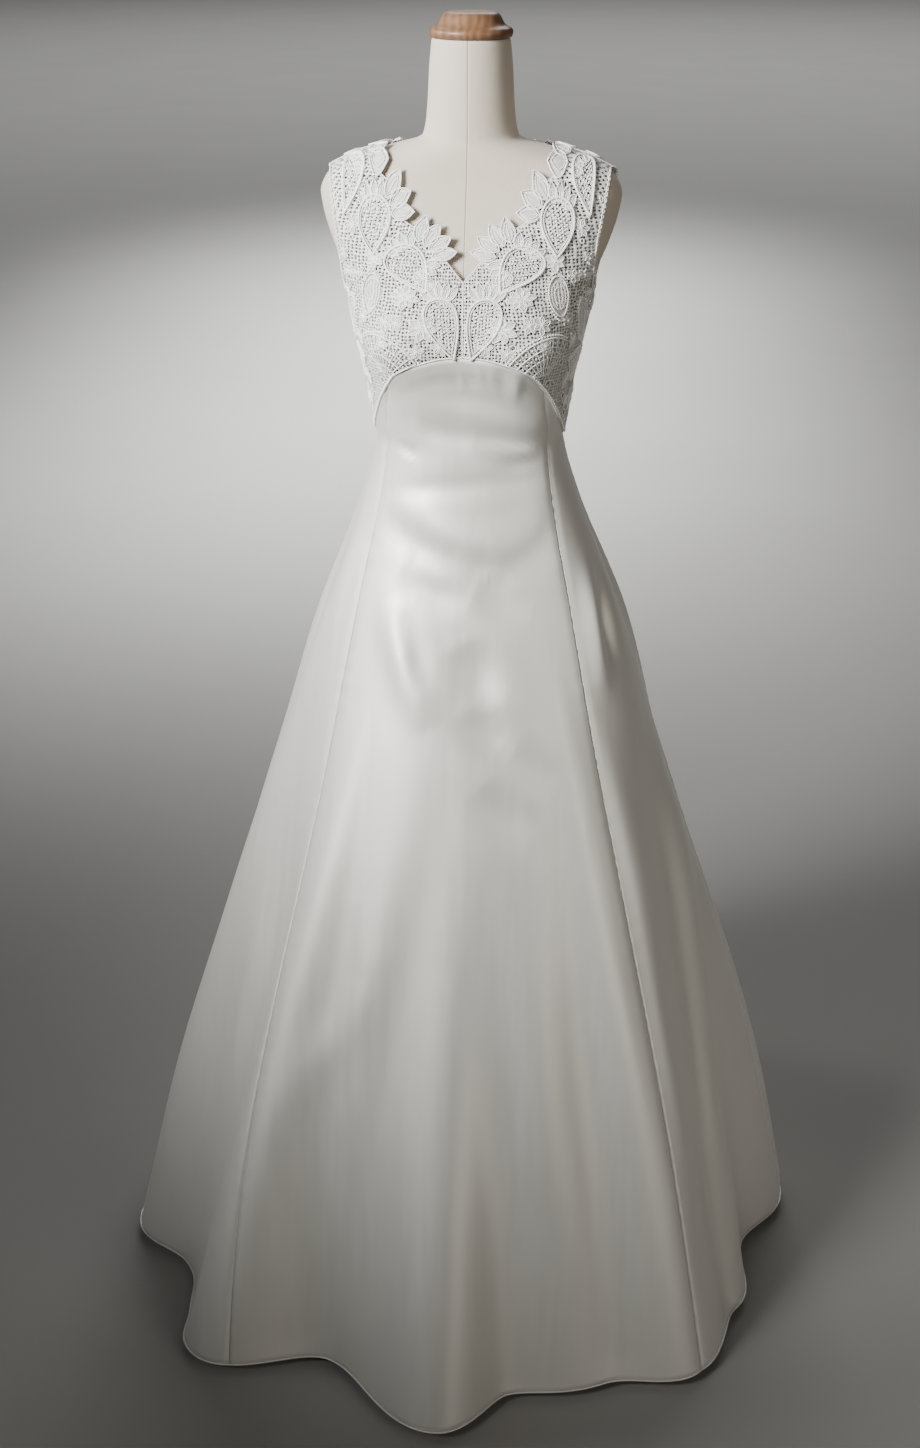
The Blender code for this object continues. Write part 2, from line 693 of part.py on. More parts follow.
def build_skirt(front, collection):
    satin = make_material("ivory satin", COLOURS["satin"], 0.38)
    gores = [
        ("skirt_front", (-1, 1), "front"),
        ("skirt_side_front_left", (1, 2), "side front"),
        ("skirt_side_front_right", (-2, -1), "side front"),
        ("skirt_side_back_left", (2, 3), "side back"),
        ("skirt_side_back_right", (-3, -2), "side back"),
        ("skirt_back_left", (3, 4), "back"),
        ("skirt_back_right", (-4, -3), "back"),
    ]
    for name, seams, kind in gores:
        shares = TOP_SHARES["arched" if kind.endswith("front") else "level"]
        skirt_gore(name, seams, GORE_COLUMNS[kind], shares, front, satin, collection)


def build_form(collection):
    """Cloth-covered torso with a neck, one closed loft of rounded sections."""
    cloth = make_material("form cloth", COLOURS["form cloth"], 0.85)
    columns = 32
    hips = [FORM_BOTTOM, 0.930, 0.990, 1.040, 1.085, 1.125, 1.158]
    chest = [1.190, 1.220, 1.250, 1.280, 1.305, 1.332, 1.362, 1.390, 1.415]
    shoulders = [1.435, 1.450, 1.463, 1.474, 1.484, 1.492, 1.499, 1.505, 1.512, 1.530, 1.565]
    heights = [*hips, *chest, *shoulders, NECK_TOP - SEAM_GAP]
    turn = np.linspace(0, 2 * math.pi, columns, endpoint=False)
    angle = np.arctan2(1.6 * np.sin(turn), np.cos(turn))
    points = []
    for height in heights:
        ease = np.interp(height, *zip(*FORM_EASE))
        points += list(around(form_radius(angle, height + 0 * angle) - ease, angle, height))
    faces = [tuple(reversed(range(columns)))]
    for row in range(len(heights) - 1):
        for column in range(columns):
            a = row * columns + column
            b = row * columns + (column + 1) % columns
            faces.append((a, b, b + columns, a + columns))
    faces.append(tuple(range(len(points) - columns, len(points))))
    add_object("form_body", points, faces, cloth, collection)


def turned(name, profile, steps, material, collection):
    """Turned solid from an outer profile that runs from the top of its axis to the bottom of it."""
    mesh = bpy.data.meshes.new(name)
    points = [(radius, 0.0, height) for radius, height in profile]
    mesh.from_pydata(points, [(i, i + 1) for i in range(len(points) - 1)], [])
    mesh.materials.append(material)
    item = bpy.data.objects.new(name, mesh)
    collection.objects.link(item)
    screw = item.modifiers.new("turned", "SCREW")
    screw.steps = steps
    screw.render_steps = steps
    screw.use_merge_vertices = True
    screw.merge_threshold = 0.00005
    screw.use_smooth_shade = True
    return item


def build_stand(collection):
    wood = make_material("turned wood", COLOURS["wood"], 0.35)
    iron = make_material("painted stand", COLOURS["stand"], 0.45, 0.6)
    cap_bottom = NECK_TOP
    cap = [
        (0.0, cap_bottom + 0.0280),
        (0.0230, cap_bottom + 0.0280),
        (0.0300, cap_bottom + 0.0270),
        (0.0340, cap_bottom + 0.0235),
        (0.0375, cap_bottom + 0.0170),
        (0.0425, cap_bottom + 0.0125),
        (0.0465, cap_bottom + 0.0105),
        (0.0485, cap_bottom + 0.0070),
        (0.0480, cap_bottom + 0.0030),
        (0.0455, cap_bottom),
        (0.0, cap_bottom),
    ]
    turned("neck_cap", cap, 24, wood, collection)
    base_thickness, base_radius, pole_radius = 0.008, 0.170, 0.0125
    base = [
        (0.0, base_thickness),
        (base_radius - 0.003, base_thickness),
        (base_radius, base_thickness - 0.003),
        (base_radius, 0.0),
        (0.0, 0.0),
    ]
    turned("stand_base", base, 32, iron, collection)
    pole = [
        (0.0, FORM_BOTTOM - SEAM_GAP),
        (pole_radius, FORM_BOTTOM - SEAM_GAP),
        (pole_radius, base_thickness + SEAM_GAP),
        (0.0, base_thickness + SEAM_GAP),
    ]
    turned("stand_pole", pole, 20, iron, collection)


def main():
    clear_scene()
    collection = bpy.data.collections.new("wedding dress on dress form")
    bpy.context.scene.collection.children.link(collection)
    front, back = Pattern("front"), Pattern("back")
    build_bodice(front, back, collection)
    build_skirt(front, collection)
    build_form(collection)
    build_stand(collection)


main()
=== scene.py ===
# Wedding dress on a limbless dress form: cloth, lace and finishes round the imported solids.
import math

import bpy
import numpy as np
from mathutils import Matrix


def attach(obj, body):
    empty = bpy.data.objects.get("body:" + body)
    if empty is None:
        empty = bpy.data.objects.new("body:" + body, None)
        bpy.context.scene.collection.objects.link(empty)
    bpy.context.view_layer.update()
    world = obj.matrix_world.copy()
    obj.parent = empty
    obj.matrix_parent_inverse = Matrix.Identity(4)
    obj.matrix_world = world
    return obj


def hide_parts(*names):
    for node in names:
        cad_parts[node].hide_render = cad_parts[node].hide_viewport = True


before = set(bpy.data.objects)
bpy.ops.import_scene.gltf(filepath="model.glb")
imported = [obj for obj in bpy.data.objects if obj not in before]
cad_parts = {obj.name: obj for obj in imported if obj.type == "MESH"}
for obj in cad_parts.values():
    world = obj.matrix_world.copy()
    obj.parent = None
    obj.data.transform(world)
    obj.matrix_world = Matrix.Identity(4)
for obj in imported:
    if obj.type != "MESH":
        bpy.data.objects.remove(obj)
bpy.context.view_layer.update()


def metres(row, lengths):
    # a row whose first numbers are lengths in millimetres
    return (*(value / 1000 for value in row[:lengths]), *row[lengths:])


# The shapes that the cloth hangs on, as in the solids; lengths are in metres where no metres() call stands
formSections = [metres(row, 4) for row in [  # height, half width, depths to the front and back, roundness power
    (860, 150, 98, 112, 2.2), (930, 160, 106, 122, 2.2), (996, 158, 106, 118, 2.2), (1042, 146, 101, 108, 2.2),
    (1085, 131, 96, 96, 2.2), (1125, 118.5, 92, 84, 2.25), (1155, 112.5, 90, 78, 2.3), (1186, 117, 92, 78, 2.35),
    (1221, 121.5, 98, 82, 2.4), (1253, 127.5, 106, 87, 2.4), (1288, 135.5, 112, 92, 2.4), (1315, 141.5, 111, 95, 2.4),
    (1340, 146.5, 107, 97, 2.4), (1367, 158, 101, 98, 2.4), (1396, 170, 92, 97, 2.4), (1430, 180, 78, 91, 2.35),
    (1448, 182, 70, 85, 2.3), (1466, 175, 61, 76, 2.3), (1489, 136, 55, 64, 2.2), (1503, 90, 52, 58, 2.1),
    (1512, 59, 50, 55, 2.0), (1548, 52.5, 50, 52, 2.0), (1591, 50, 49, 49, 2.0), (1622, 47, 47, 47, 2.0),
]]
bustCups = {"out": 0.013, "angle": 36.0, "spread": 20.0, "height": 1.285, "rise": 0.045}
skirtSections = [metres(row, 4) for row in [
    (12, 432, 462, 470, 2.05), (250, 386, 385, 395, 2.05), (500, 320, 296, 310, 2.05), (765, 239, 196, 215, 2.1),
    (915, 196, 143, 160, 2.15), (996, 166, 118, 130, 2.2), (1042, 148, 106, 114, 2.2), (1085, 132.5, 98, 99, 2.2),
    (1125, 119.5, 92.5, 85.5, 2.25), (1155, 112.5, 90, 78, 2.3),
]]
hemFlutes = [  # angle from the front, hem radius, height where the flute starts to show
    (-166, 0.432, 0.7), (-148, 0.482, 0.85), (-129, 0.424, 0.8), (-109, 0.47, 0.9), (-91, 0.44, 0.9),
    (-73, 0.482, 0.95), (-58, 0.428, 0.8), (-39, 0.517, 0.85), (-21, 0.419, 0.55), (0, 0.51, 0.55),
    (12, 0.446, 0.45), (27, 0.456, 0.5), (41, 0.499, 0.9), (57, 0.457, 0.8), (75, 0.41, 0.8), (91, 0.458, 0.95),
    (109, 0.424, 0.8), (127, 0.474, 0.9), (144, 0.426, 0.75), (160, 0.486, 0.8), (176, 0.438, 0.6),
]
princessSeams = [  # height, angle on the wearer's right, angle on the left
    (0.012, -34.0, 42.0), (0.25, -38.0, 44.0), (0.5, -43.0, 46.5), (0.765, -49.0, 50.5), (0.915, -53.0, 53.5),
    (1.042, -57.5, 57.5), (1.125, -60.0, 60.5), (1.16, -61.0, 61.5), (1.19, -57.5, 57.5), (1.225, -51.0, 51.0),
]
archRows = [  # pattern distance from the centre front, height of the satin's top edge
    (0.0, 1.2775), (0.025, 1.2755), (0.05, 1.269), (0.072, 1.26), (0.107, 1.234), (0.13, 1.213), (0.155, 1.188),
    (0.184, 1.168), (0.2095, 1.16),
]
levels = {"hem": 0.012, "waist": 1.16, "neck": 1.622, "formBottom": 0.87, "arm": 1.33, "strapTurn": 0.125,
          "armStart": 0.6, "shoulderSpread": 1.15}


def stacked(*parts):
    return np.stack(parts, axis=-1)


def unit(vectors):
    return vectors / np.linalg.norm(vectors, axis=-1, keepdims=True)


def readCurve(rows, column, at):
    where = np.array([row[0] for row in rows], float)
    value = np.array([row[column] for row in rows], float)
    step = np.diff(where)
    slope = np.diff(value) / step
    tangent = np.zeros_like(value)
    tangent[0], tangent[-1] = slope[0], slope[-1]
    for i in range(1, len(where) - 1):
        if slope[i - 1] * slope[i] > 0:
            before = 2 * step[i] + step[i - 1]
            after = step[i] + 2 * step[i - 1]
            tangent[i] = (before + after) / (before / slope[i - 1] + after / slope[i])
    at = np.clip(at, where[0], where[-1])
    k = np.clip(np.searchsorted(where, at) - 1, 0, len(where) - 2)
    t = (at - where[k]) / step[k]
    start = value[k] * (1 + 2 * t) * (1 - t) ** 2 + tangent[k] * step[k] * t * (1 - t) ** 2
    end = value[k + 1] * t * t * (3 - 2 * t) + tangent[k + 1] * step[k] * t * t * (t - 1)
    return start + end


def sectionRadius(rows, angle, height):
    half, front, back, power = (readCurve(rows, column, height) for column in (1, 2, 3, 4))
    depth = np.where(np.cos(angle) > 0, front, back)
    return ((np.abs(np.sin(angle)) / half) ** power + (np.abs(np.cos(angle)) / depth) ** power) ** (-1 / power)


def formRadius(angle, height):
    turned = (angle + math.pi) % (2 * math.pi) - math.pi
    aside = (np.abs(turned) - math.radians(bustCups["angle"])) / math.radians(bustCups["spread"])
    above = (height - bustCups["height"]) / bustCups["rise"]
    return sectionRadius(formSections, angle, height) + bustCups["out"] * np.exp(-aside ** 2 - above ** 2)


def fluteShape(angle):
    rows = hemFlutes + [(hemFlutes[0][0] + 360, *hemFlutes[0][1:])]
    turn, radius, starts = (np.array([row[i] for row in rows], float) for i in range(3))
    degrees = (np.degrees(angle) - turn[0]) % 360 + turn[0]
    k = np.clip(np.searchsorted(turn, degrees, side="right") - 1, 0, len(turn) - 2)
    ease = 0.5 - 0.5 * np.cos(math.pi * (degrees - turn[k]) / (turn[k + 1] - turn[k]))
    return radius[k] + (radius[k + 1] - radius[k]) * ease, starts[k] + (starts[k + 1] - starts[k]) * ease


def skirtRadius(angle, height):
    plain = sectionRadius(skirtSections, angle, height)
    hem, starts = fluteShape(angle)
    share = np.clip((starts - height) / (starts - levels["hem"]), 0, 1) ** 1.35
    below = plain + (hem - sectionRadius(skirtSections, angle, levels["hem"] + 0 * angle)) * share
    return np.where(height > skirtSections[-1][0], formRadius(angle, height), below)


def around(radius, angle, height):
    return stacked(radius * np.sin(angle), -radius * np.cos(angle), height + 0 * angle)


def formDepth(points):
    angle = np.arctan2(points[..., 0], -points[..., 1])
    return np.hypot(points[..., 0], points[..., 1]) - formRadius(angle, points[..., 2])


def formSlope(points):
    step = 5e-4
    return stacked(*((formDepth(points + step * axis) - formDepth(points - step * axis)) / (2 * step)
                     for axis in np.eye(3)))


def restOnForm(points, away):
    # moves points along the form's slope until they lie this far from it
    for _ in range(5):
        slope = formSlope(points)
        steep = np.linalg.norm(slope, axis=-1, keepdims=True)
        points = points + slope / steep ** 2 * (np.reshape(away, (-1, 1)) * steep - formDepth(points)[:, None])
    return points


def halfPattern(facing):
    # flat distances round the form at underarm level, from the centre to the side seam
    angle = np.linspace(0, math.pi / 2, 361)
    true = angle if facing == "front" else math.pi - angle
    ring = around(formRadius(true, levels["arm"] + 0 * angle), true, levels["arm"])
    along = np.concatenate([[0], np.cumsum(np.linalg.norm(np.diff(ring[:, :2], axis=0), axis=1))])
    return {"angle": angle, "along": along, "aside": ring[:, 0], "depth": ring[:, 1], "side": along[-1]}


patterns = {"front": halfPattern("front"), "back": halfPattern("back")}


def layOnForm(flat, facing, away):
    # flat pattern points, across and up, laid on the form and over its shoulder
    pattern = patterns[facing]
    across, height = flat[:, 0], flat[:, 1]
    angle = np.sign(across) * np.interp(np.abs(across), pattern["along"], pattern["angle"])
    angle = angle if facing == "front" else math.pi - angle
    low = around(formRadius(angle, height), angle, height)
    lean = np.clip((height - levels["arm"]) / levels["strapTurn"], 0, math.pi / 2)
    share = lean / (math.pi / 2)
    ringX = np.sign(across) * np.interp(np.abs(across), pattern["along"], pattern["aside"])
    ringY = np.interp(np.abs(across), pattern["along"], pattern["depth"])
    start = levels["armStart"]
    startX = ringX * (start + (levels["shoulderSpread"] - start) * share)
    aimX = ringX * (1 - start) * (1 - share)
    aim = np.hypot(aimX, ringY)

    def reach(t):
        return stacked(startX + t * np.cos(lean) * aimX / aim, t * np.cos(lean) * ringY / aim,
                       levels["arm"] + t * np.sin(lean))

    outside = np.full(len(flat), 0.3)
    inside = np.zeros(len(flat))
    for t in np.linspace(0.28, 0.0, 71):
        hit = (formDepth(reach(t)) < 0) & (inside == 0)
        inside = np.where(hit, t, inside)
        outside = np.where(inside == 0, t, outside)
    for _ in range(22):
        middle = (inside + outside) / 2
        hit = formDepth(reach(middle)) < 0
        inside = np.where(hit, middle, inside)
        outside = np.where(hit, outside, middle)
    points = np.where((height > levels["arm"])[:, None], reach(outside), low)
    return points + unit(formSlope(points)) * np.reshape(away, (-1, 1))


class Value:
    # wraps a socket, so that shader maths reads as an expression
    def __init__(self, desk, socket):
        self.desk = desk
        self.socket = socket

    def math(self, operation, other=None, flipped=False):
        node = self.desk.tree.nodes.new("ShaderNodeMath")
        node.operation = operation
        terms = [self] if other is None else ([other, self] if flipped else [self, other])
        for slot, term in zip(node.inputs, terms):
            self.desk.feed(slot, term)
        return Value(self.desk, node.outputs[0])

    def __add__(self, other):
        return self.math("ADD", other)

    def __sub__(self, other):
        return self.math("SUBTRACT", other)

    def __rsub__(self, other):
        return self.math("SUBTRACT", other, True)

    def __mul__(self, other):
        return self.math("MULTIPLY", other)

    def __truediv__(self, other):
        return self.math("DIVIDE", other)

    __radd__ = __add__


class Desk:
    # one material's nodes
    def __init__(self, name):
        self.material = bpy.data.materials.new(name)
        self.material.use_nodes = True
        self.tree = self.material.node_tree
        self.shader = self.tree.nodes["Principled BSDF"]

    def feed(self, slot, term):
        if isinstance(term, Value):
            self.tree.links.new(term.socket, slot)
        else:
            slot.default_value = term

    def add(self, kind, settings=None, sockets=None, output=0):
        node = self.tree.nodes.new(kind)
        for key, value in (settings or {}).items():
            if key == "stops":
                ramp = node.color_ramp
                for i, (place, colour) in enumerate(value):
                    stop = ramp.elements[i] if i < 2 else ramp.elements.new(place)
                    stop.position, stop.color = place, (*colour, 1.0)
            else:
                setattr(node, key, value)
        for key, value in (sockets or {}).items():
            self.feed(node.inputs[key], value)
        return Value(self, node.outputs[output])

    def set(self, **looks):
        for key, value in looks.items():
            self.feed(self.shader.inputs[key.replace("_", " ")], value)
        return self

    def bump(self, height, distance, strength=1.0):
        normal = self.add("ShaderNodeBump", sockets={"Height": height, "Distance": distance, "Strength": strength})
        self.set(Normal=normal)

    def place(self, source="Object"):
        return self.add("ShaderNodeTexCoord", output={"UV": 2, "Object": 3}[source])

    def axes(self, place):
        split = self.add("ShaderNodeSeparateXYZ", sockets={"Vector": place}).socket.node
        return [Value(self, socket) for socket in split.outputs]

    def clamp(self, value):
        return self.add("ShaderNodeClamp", sockets={"Value": value})

    def noise(self, place, scale, detail=2.0, roughness=0.5):
        return self.add("ShaderNodeTexNoise", sockets={"Vector": place, "Scale": scale, "Detail": detail,
                                                       "Roughness": roughness})

    def stretched(self, place, scale):
        return self.add("ShaderNodeMapping", sockets={"Vector": place, "Scale": scale})

    def blend(self, share, first, second):
        return self.add("ShaderNodeMix", {"data_type": "RGBA"}, {0: share, 6: (*first, 1), 7: (*second, 1)}, 2)


satinLook = {"light": (0.8, 0.79, 0.745), "deep": (0.72, 0.705, 0.655), "roughness": 0.49, "shine": 0.42}


def makeSatin():
    desk = Desk("ivory_satin")
    place = desk.place("UV")
    threads = desk.noise(desk.stretched(place, (2600.0, 260.0, 1.0)), 1.0, 1.0)
    slubs = desk.noise(desk.stretched(place, (90.0, 9.0, 1.0)), 1.0, 3.0)
    tone = desk.clamp(desk.noise(place, 5.0, 3.0) * 0.8 + slubs * 0.35 - 0.1)
    desk.bump(threads * 0.25 + slubs, 0.00016, 0.4)
    return desk.set(Base_Color=desk.blend(tone, satinLook["deep"], satinLook["light"]),
                    Roughness=satinLook["roughness"] - 0.08 + slubs * 0.16, Metallic=satinLook["shine"],
                    Sheen_Weight=0.05, Specular_IOR_Level=0.9).material


laceLook = {"thread": (0.86, 0.86, 0.84), "shade": (0.42, 0.42, 0.39), "cell": 0.004, "hole": 0.36}


def makeLaceGround():
    # net of small rings, open between its threads
    desk = Desk("lace_ring_ground")
    place = desk.place()
    x, y, z = desk.axes(place)
    flat = desk.add("ShaderNodeCombineXYZ", sockets={"X": x.math("ARCTAN2", y * -1.0) * 0.125, "Y": z, "Z": 0.0})
    rings = desk.add("ShaderNodeTexVoronoi", {"voronoi_dimensions": "2D"},
                     {"Vector": flat, "Scale": 1 / laceLook["cell"], "Randomness": 0.35})
    edge = desk.noise(place, 420.0, 2.0)
    desk.bump(rings * 1.2 + edge * 0.4, 0.0006, 0.9)
    # threads blend from the shade tone at each hole's rim to the thread tone between holes: painted shade in the
    # net's hollows
    return desk.set(Alpha=(rings + edge * 0.12).math("GREATER_THAN", laceLook["hole"] + 0.06),
                    Base_Color=desk.blend(desk.clamp(rings * 1.4), laceLook["shade"], laceLook["thread"]),
                    Roughness=0.72, Sheen_Weight=0.1).material


def makeThread(name, tone, grain, depth):
    # close satin stitch
    desk = Desk(name)
    place = desk.place()
    twist = desk.noise(desk.stretched(place, (1.0, 1.0, 0.55)), grain, 2.0)
    wear = desk.noise(place, 24.0, 2.0)
    desk.bump(twist, depth, 0.8)
    return desk.set(Base_Color=desk.blend(twist * 0.5 + wear * 0.5, *tone), Roughness=0.52 + twist * 0.2,
                    Sheen_Weight=0.15, Specular_IOR_Level=0.4).material


def makeLiningCloth():
    # white lining painted grey: painted shade behind the lace, so its holes read dark
    desk = Desk("lining_cloth_painted_shade")
    place = desk.place()
    weave = desk.noise(desk.stretched(place, (1.0, 1.0, 0.4)), 900.0, 1.0)
    drift = desk.noise(place, 30.0, 2.0)
    desk.bump(weave, 0.0001, 0.6)
    return desk.set(Base_Color=desk.blend(drift, (0.34, 0.335, 0.315), (0.42, 0.415, 0.39)),
                    Roughness=0.62 + weave * 0.15, Specular_IOR_Level=0.3).material


def makeFormCloth():
    # plain cotton cover with a seam down the centre front
    desk = Desk("form_cotton")
    place = desk.place()
    x, _, z = desk.axes(place)
    warp = (x * 3500.0).math("SINE") * (z * 3900.0).math("SINE")
    slubs = desk.noise(desk.stretched(place, (260.0, 260.0, 26.0)), 1.0, 2.0)
    seam = desk.clamp(1.0 - x.math("ABSOLUTE") / 0.0011)
    tone = desk.clamp(desk.noise(place, 9.0, 3.0) * 0.9 + slubs * 0.4 - 0.15 - seam * 0.35)
    desk.bump(warp * 0.1 + slubs * 0.5 - seam * 3.0, 0.0004, 0.7)
    return desk.set(Base_Color=desk.blend(tone, (0.5, 0.44, 0.36), (0.61, 0.55, 0.465)),
                    Roughness=0.8 + slubs * 0.12, Sheen_Weight=0.12, Specular_IOR_Level=0.25).material


def makeWood():
    desk = Desk("turned_brown_wood")
    place = desk.place()
    grain = desk.noise(desk.stretched(place, (150.0, 150.0, 14.0)), 1.0, 4.0, 0.6)
    rings = desk.add("ShaderNodeTexWave", {"wave_type": "BANDS", "bands_direction": "X"},
                     {"Vector": place, "Scale": 34.0, "Distortion": 5.0, "Detail": 3.0}, 1)
    tone = desk.clamp(grain * 0.9 + rings * 0.35 - 0.15)
    desk.bump(grain + rings * 0.3, 0.0003, 0.5)
    return desk.set(Base_Color=desk.blend(tone, (0.105, 0.05, 0.024), (0.26, 0.145, 0.078)),
                    Roughness=0.3 + grain * 0.22, Coat_Weight=0.05, Coat_Roughness=0.3,
                    Specular_IOR_Level=0.35).material


def makeStandPaint():
    desk = Desk("black_stand_paint")
    place = desk.place()
    scuff = desk.noise(place, 18.0, 4.0)
    desk.bump(desk.noise(place, 260.0, 2.0), 0.0002, 0.4)
    return desk.set(Base_Color=desk.blend(scuff, (0.03, 0.03, 0.032), (0.06, 0.06, 0.062)),
                    Roughness=0.34 + scuff * 0.25).material


def makeFloorLook():
    desk = Desk("pale_floor")
    drift = desk.noise(desk.place(), 1.5, 2.0)
    return desk.set(Base_Color=desk.blend(drift, (0.262, 0.254, 0.24), (0.288, 0.28, 0.265)), Roughness=0.85,
                    Specular_IOR_Level=0.2).material


satin = makeSatin()
laceGround = makeLaceGround()
cordThread = makeThread("lace_cord_thread", ((0.9, 0.9, 0.88), (0.96, 0.96, 0.95)), 1300.0, 0.00022)
# stitched leaves: the same white thread as the cords, painted darker as painted shade between the raised cords
shadedLeafStitch = makeThread("lace_satin_stitch_painted_shade", ((0.56, 0.56, 0.535), (0.68, 0.68, 0.655)), 700.0, 0.00045)
shadedLiningCloth = makeLiningCloth()
formCloth = makeFormCloth()
wood = makeWood()
standPaint = makeStandPaint()
print("finishes made")


def dropSelection():
    bpy.ops.object.select_all(action="DESELECT")


def useOnly(piece):
    dropSelection()
    piece.select_set(True)
    bpy.context.view_layer.objects.active = piece


def addPiece(name, data):
    piece = bpy.data.objects.new(name, data)
    bpy.context.scene.collection.objects.link(piece)
    return piece


def startEdit(select="SELECT"):
    bpy.ops.object.mode_set(mode="EDIT")
    bpy.ops.mesh.select_all(action=select)


def endEdit():
    bpy.ops.object.mode_set(mode="OBJECT")


def mergePoints(piece):
    useOnly(piece)
    startEdit()
    bpy.ops.mesh.remove_doubles(threshold=0.00002)
    bpy.ops.mesh.select_all(action="DESELECT")
    endEdit()


def readPoints(piece):
    points = np.empty(len(piece.data.vertices) * 3)
    piece.data.vertices.foreach_get("co", points)
    return points.reshape(-1, 3)


def writePoints(piece, points):
    piece.data.vertices.foreach_set("co", np.asarray(points, float).ravel())
    piece.data.update()


def finishPiece(piece, name, material, slot, *nodes):
    piece.name = name
    piece.data.name = name
    piece.data.materials.clear()
    piece.data.materials.append(material)
    useOnly(piece)
    bpy.ops.object.shade_smooth()
    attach(piece, "root")
    if nodes:
        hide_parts(*nodes)
    return piece


def giveWall(piece, thickness):
    useOnly(piece)
    wall = piece.modifiers.new("wall", "SOLIDIFY")
    wall.thickness = thickness
    wall.offset = -1.0
    bpy.ops.object.modifier_apply(modifier=wall.name)


def sheetArea(piece):
    return float(sum(polygon.area for polygon in piece.data.polygons))


def gridPiece(columns, rows):
    # a flat grid, with each point's share across and up
    dropSelection()
    bpy.ops.mesh.primitive_grid_add(x_subdivisions=columns, y_subdivisions=rows, size=1.0, location=(0, 0, 0))
    piece = bpy.context.active_object
    shares = readPoints(piece)[:, :2] + 0.5
    return piece, shares[:, 0], shares[:, 1]


def writeMap(piece, across, up):
    # the cloth's own map in metres
    corner = np.empty(len(piece.data.loops), int)
    piece.data.loops.foreach_get("vertex_index", corner)
    layer = piece.data.uv_layers.active or piece.data.uv_layers.new(name="cloth")
    layer.data.foreach_set("uv", stacked(across[corner], up[corner]).ravel())


# Satin skirt

skirtCloth = {"away": 0.0026, "wall": 0.0016, "seamGap": 0.0003, "seamDip": 0.001, "seamReach": 0.005,
              "pucker": 0.0004, "puckerPitch": 0.0031, "calm": 0.7, "calmReach": 0.012, "wave": 0.0012,
              "waveReach": 0.03, "archRoll": 0.0016, "waistRoll": 0.0004, "rollReach": 0.006,
              "deepest": -0.02, "deepestAbove": -0.0018, "aboveFrom": 1.0}
gores = [  # node, seams at its two sides, columns, rows
    ("skirt_front", (-1, 1), 150, 170),
    ("skirt_side_front_left", (1, 2), 66, 150),
    ("skirt_side_front_right", (-2, -1), 66, 150),
    ("skirt_side_back_left", (2, 3), 60, 140),
    ("skirt_side_back_right", (-3, -2), 60, 140),
    ("skirt_back_left", (3, 4), 50, 140),
    ("skirt_back_right", (-4, -3), 50, 140),
]
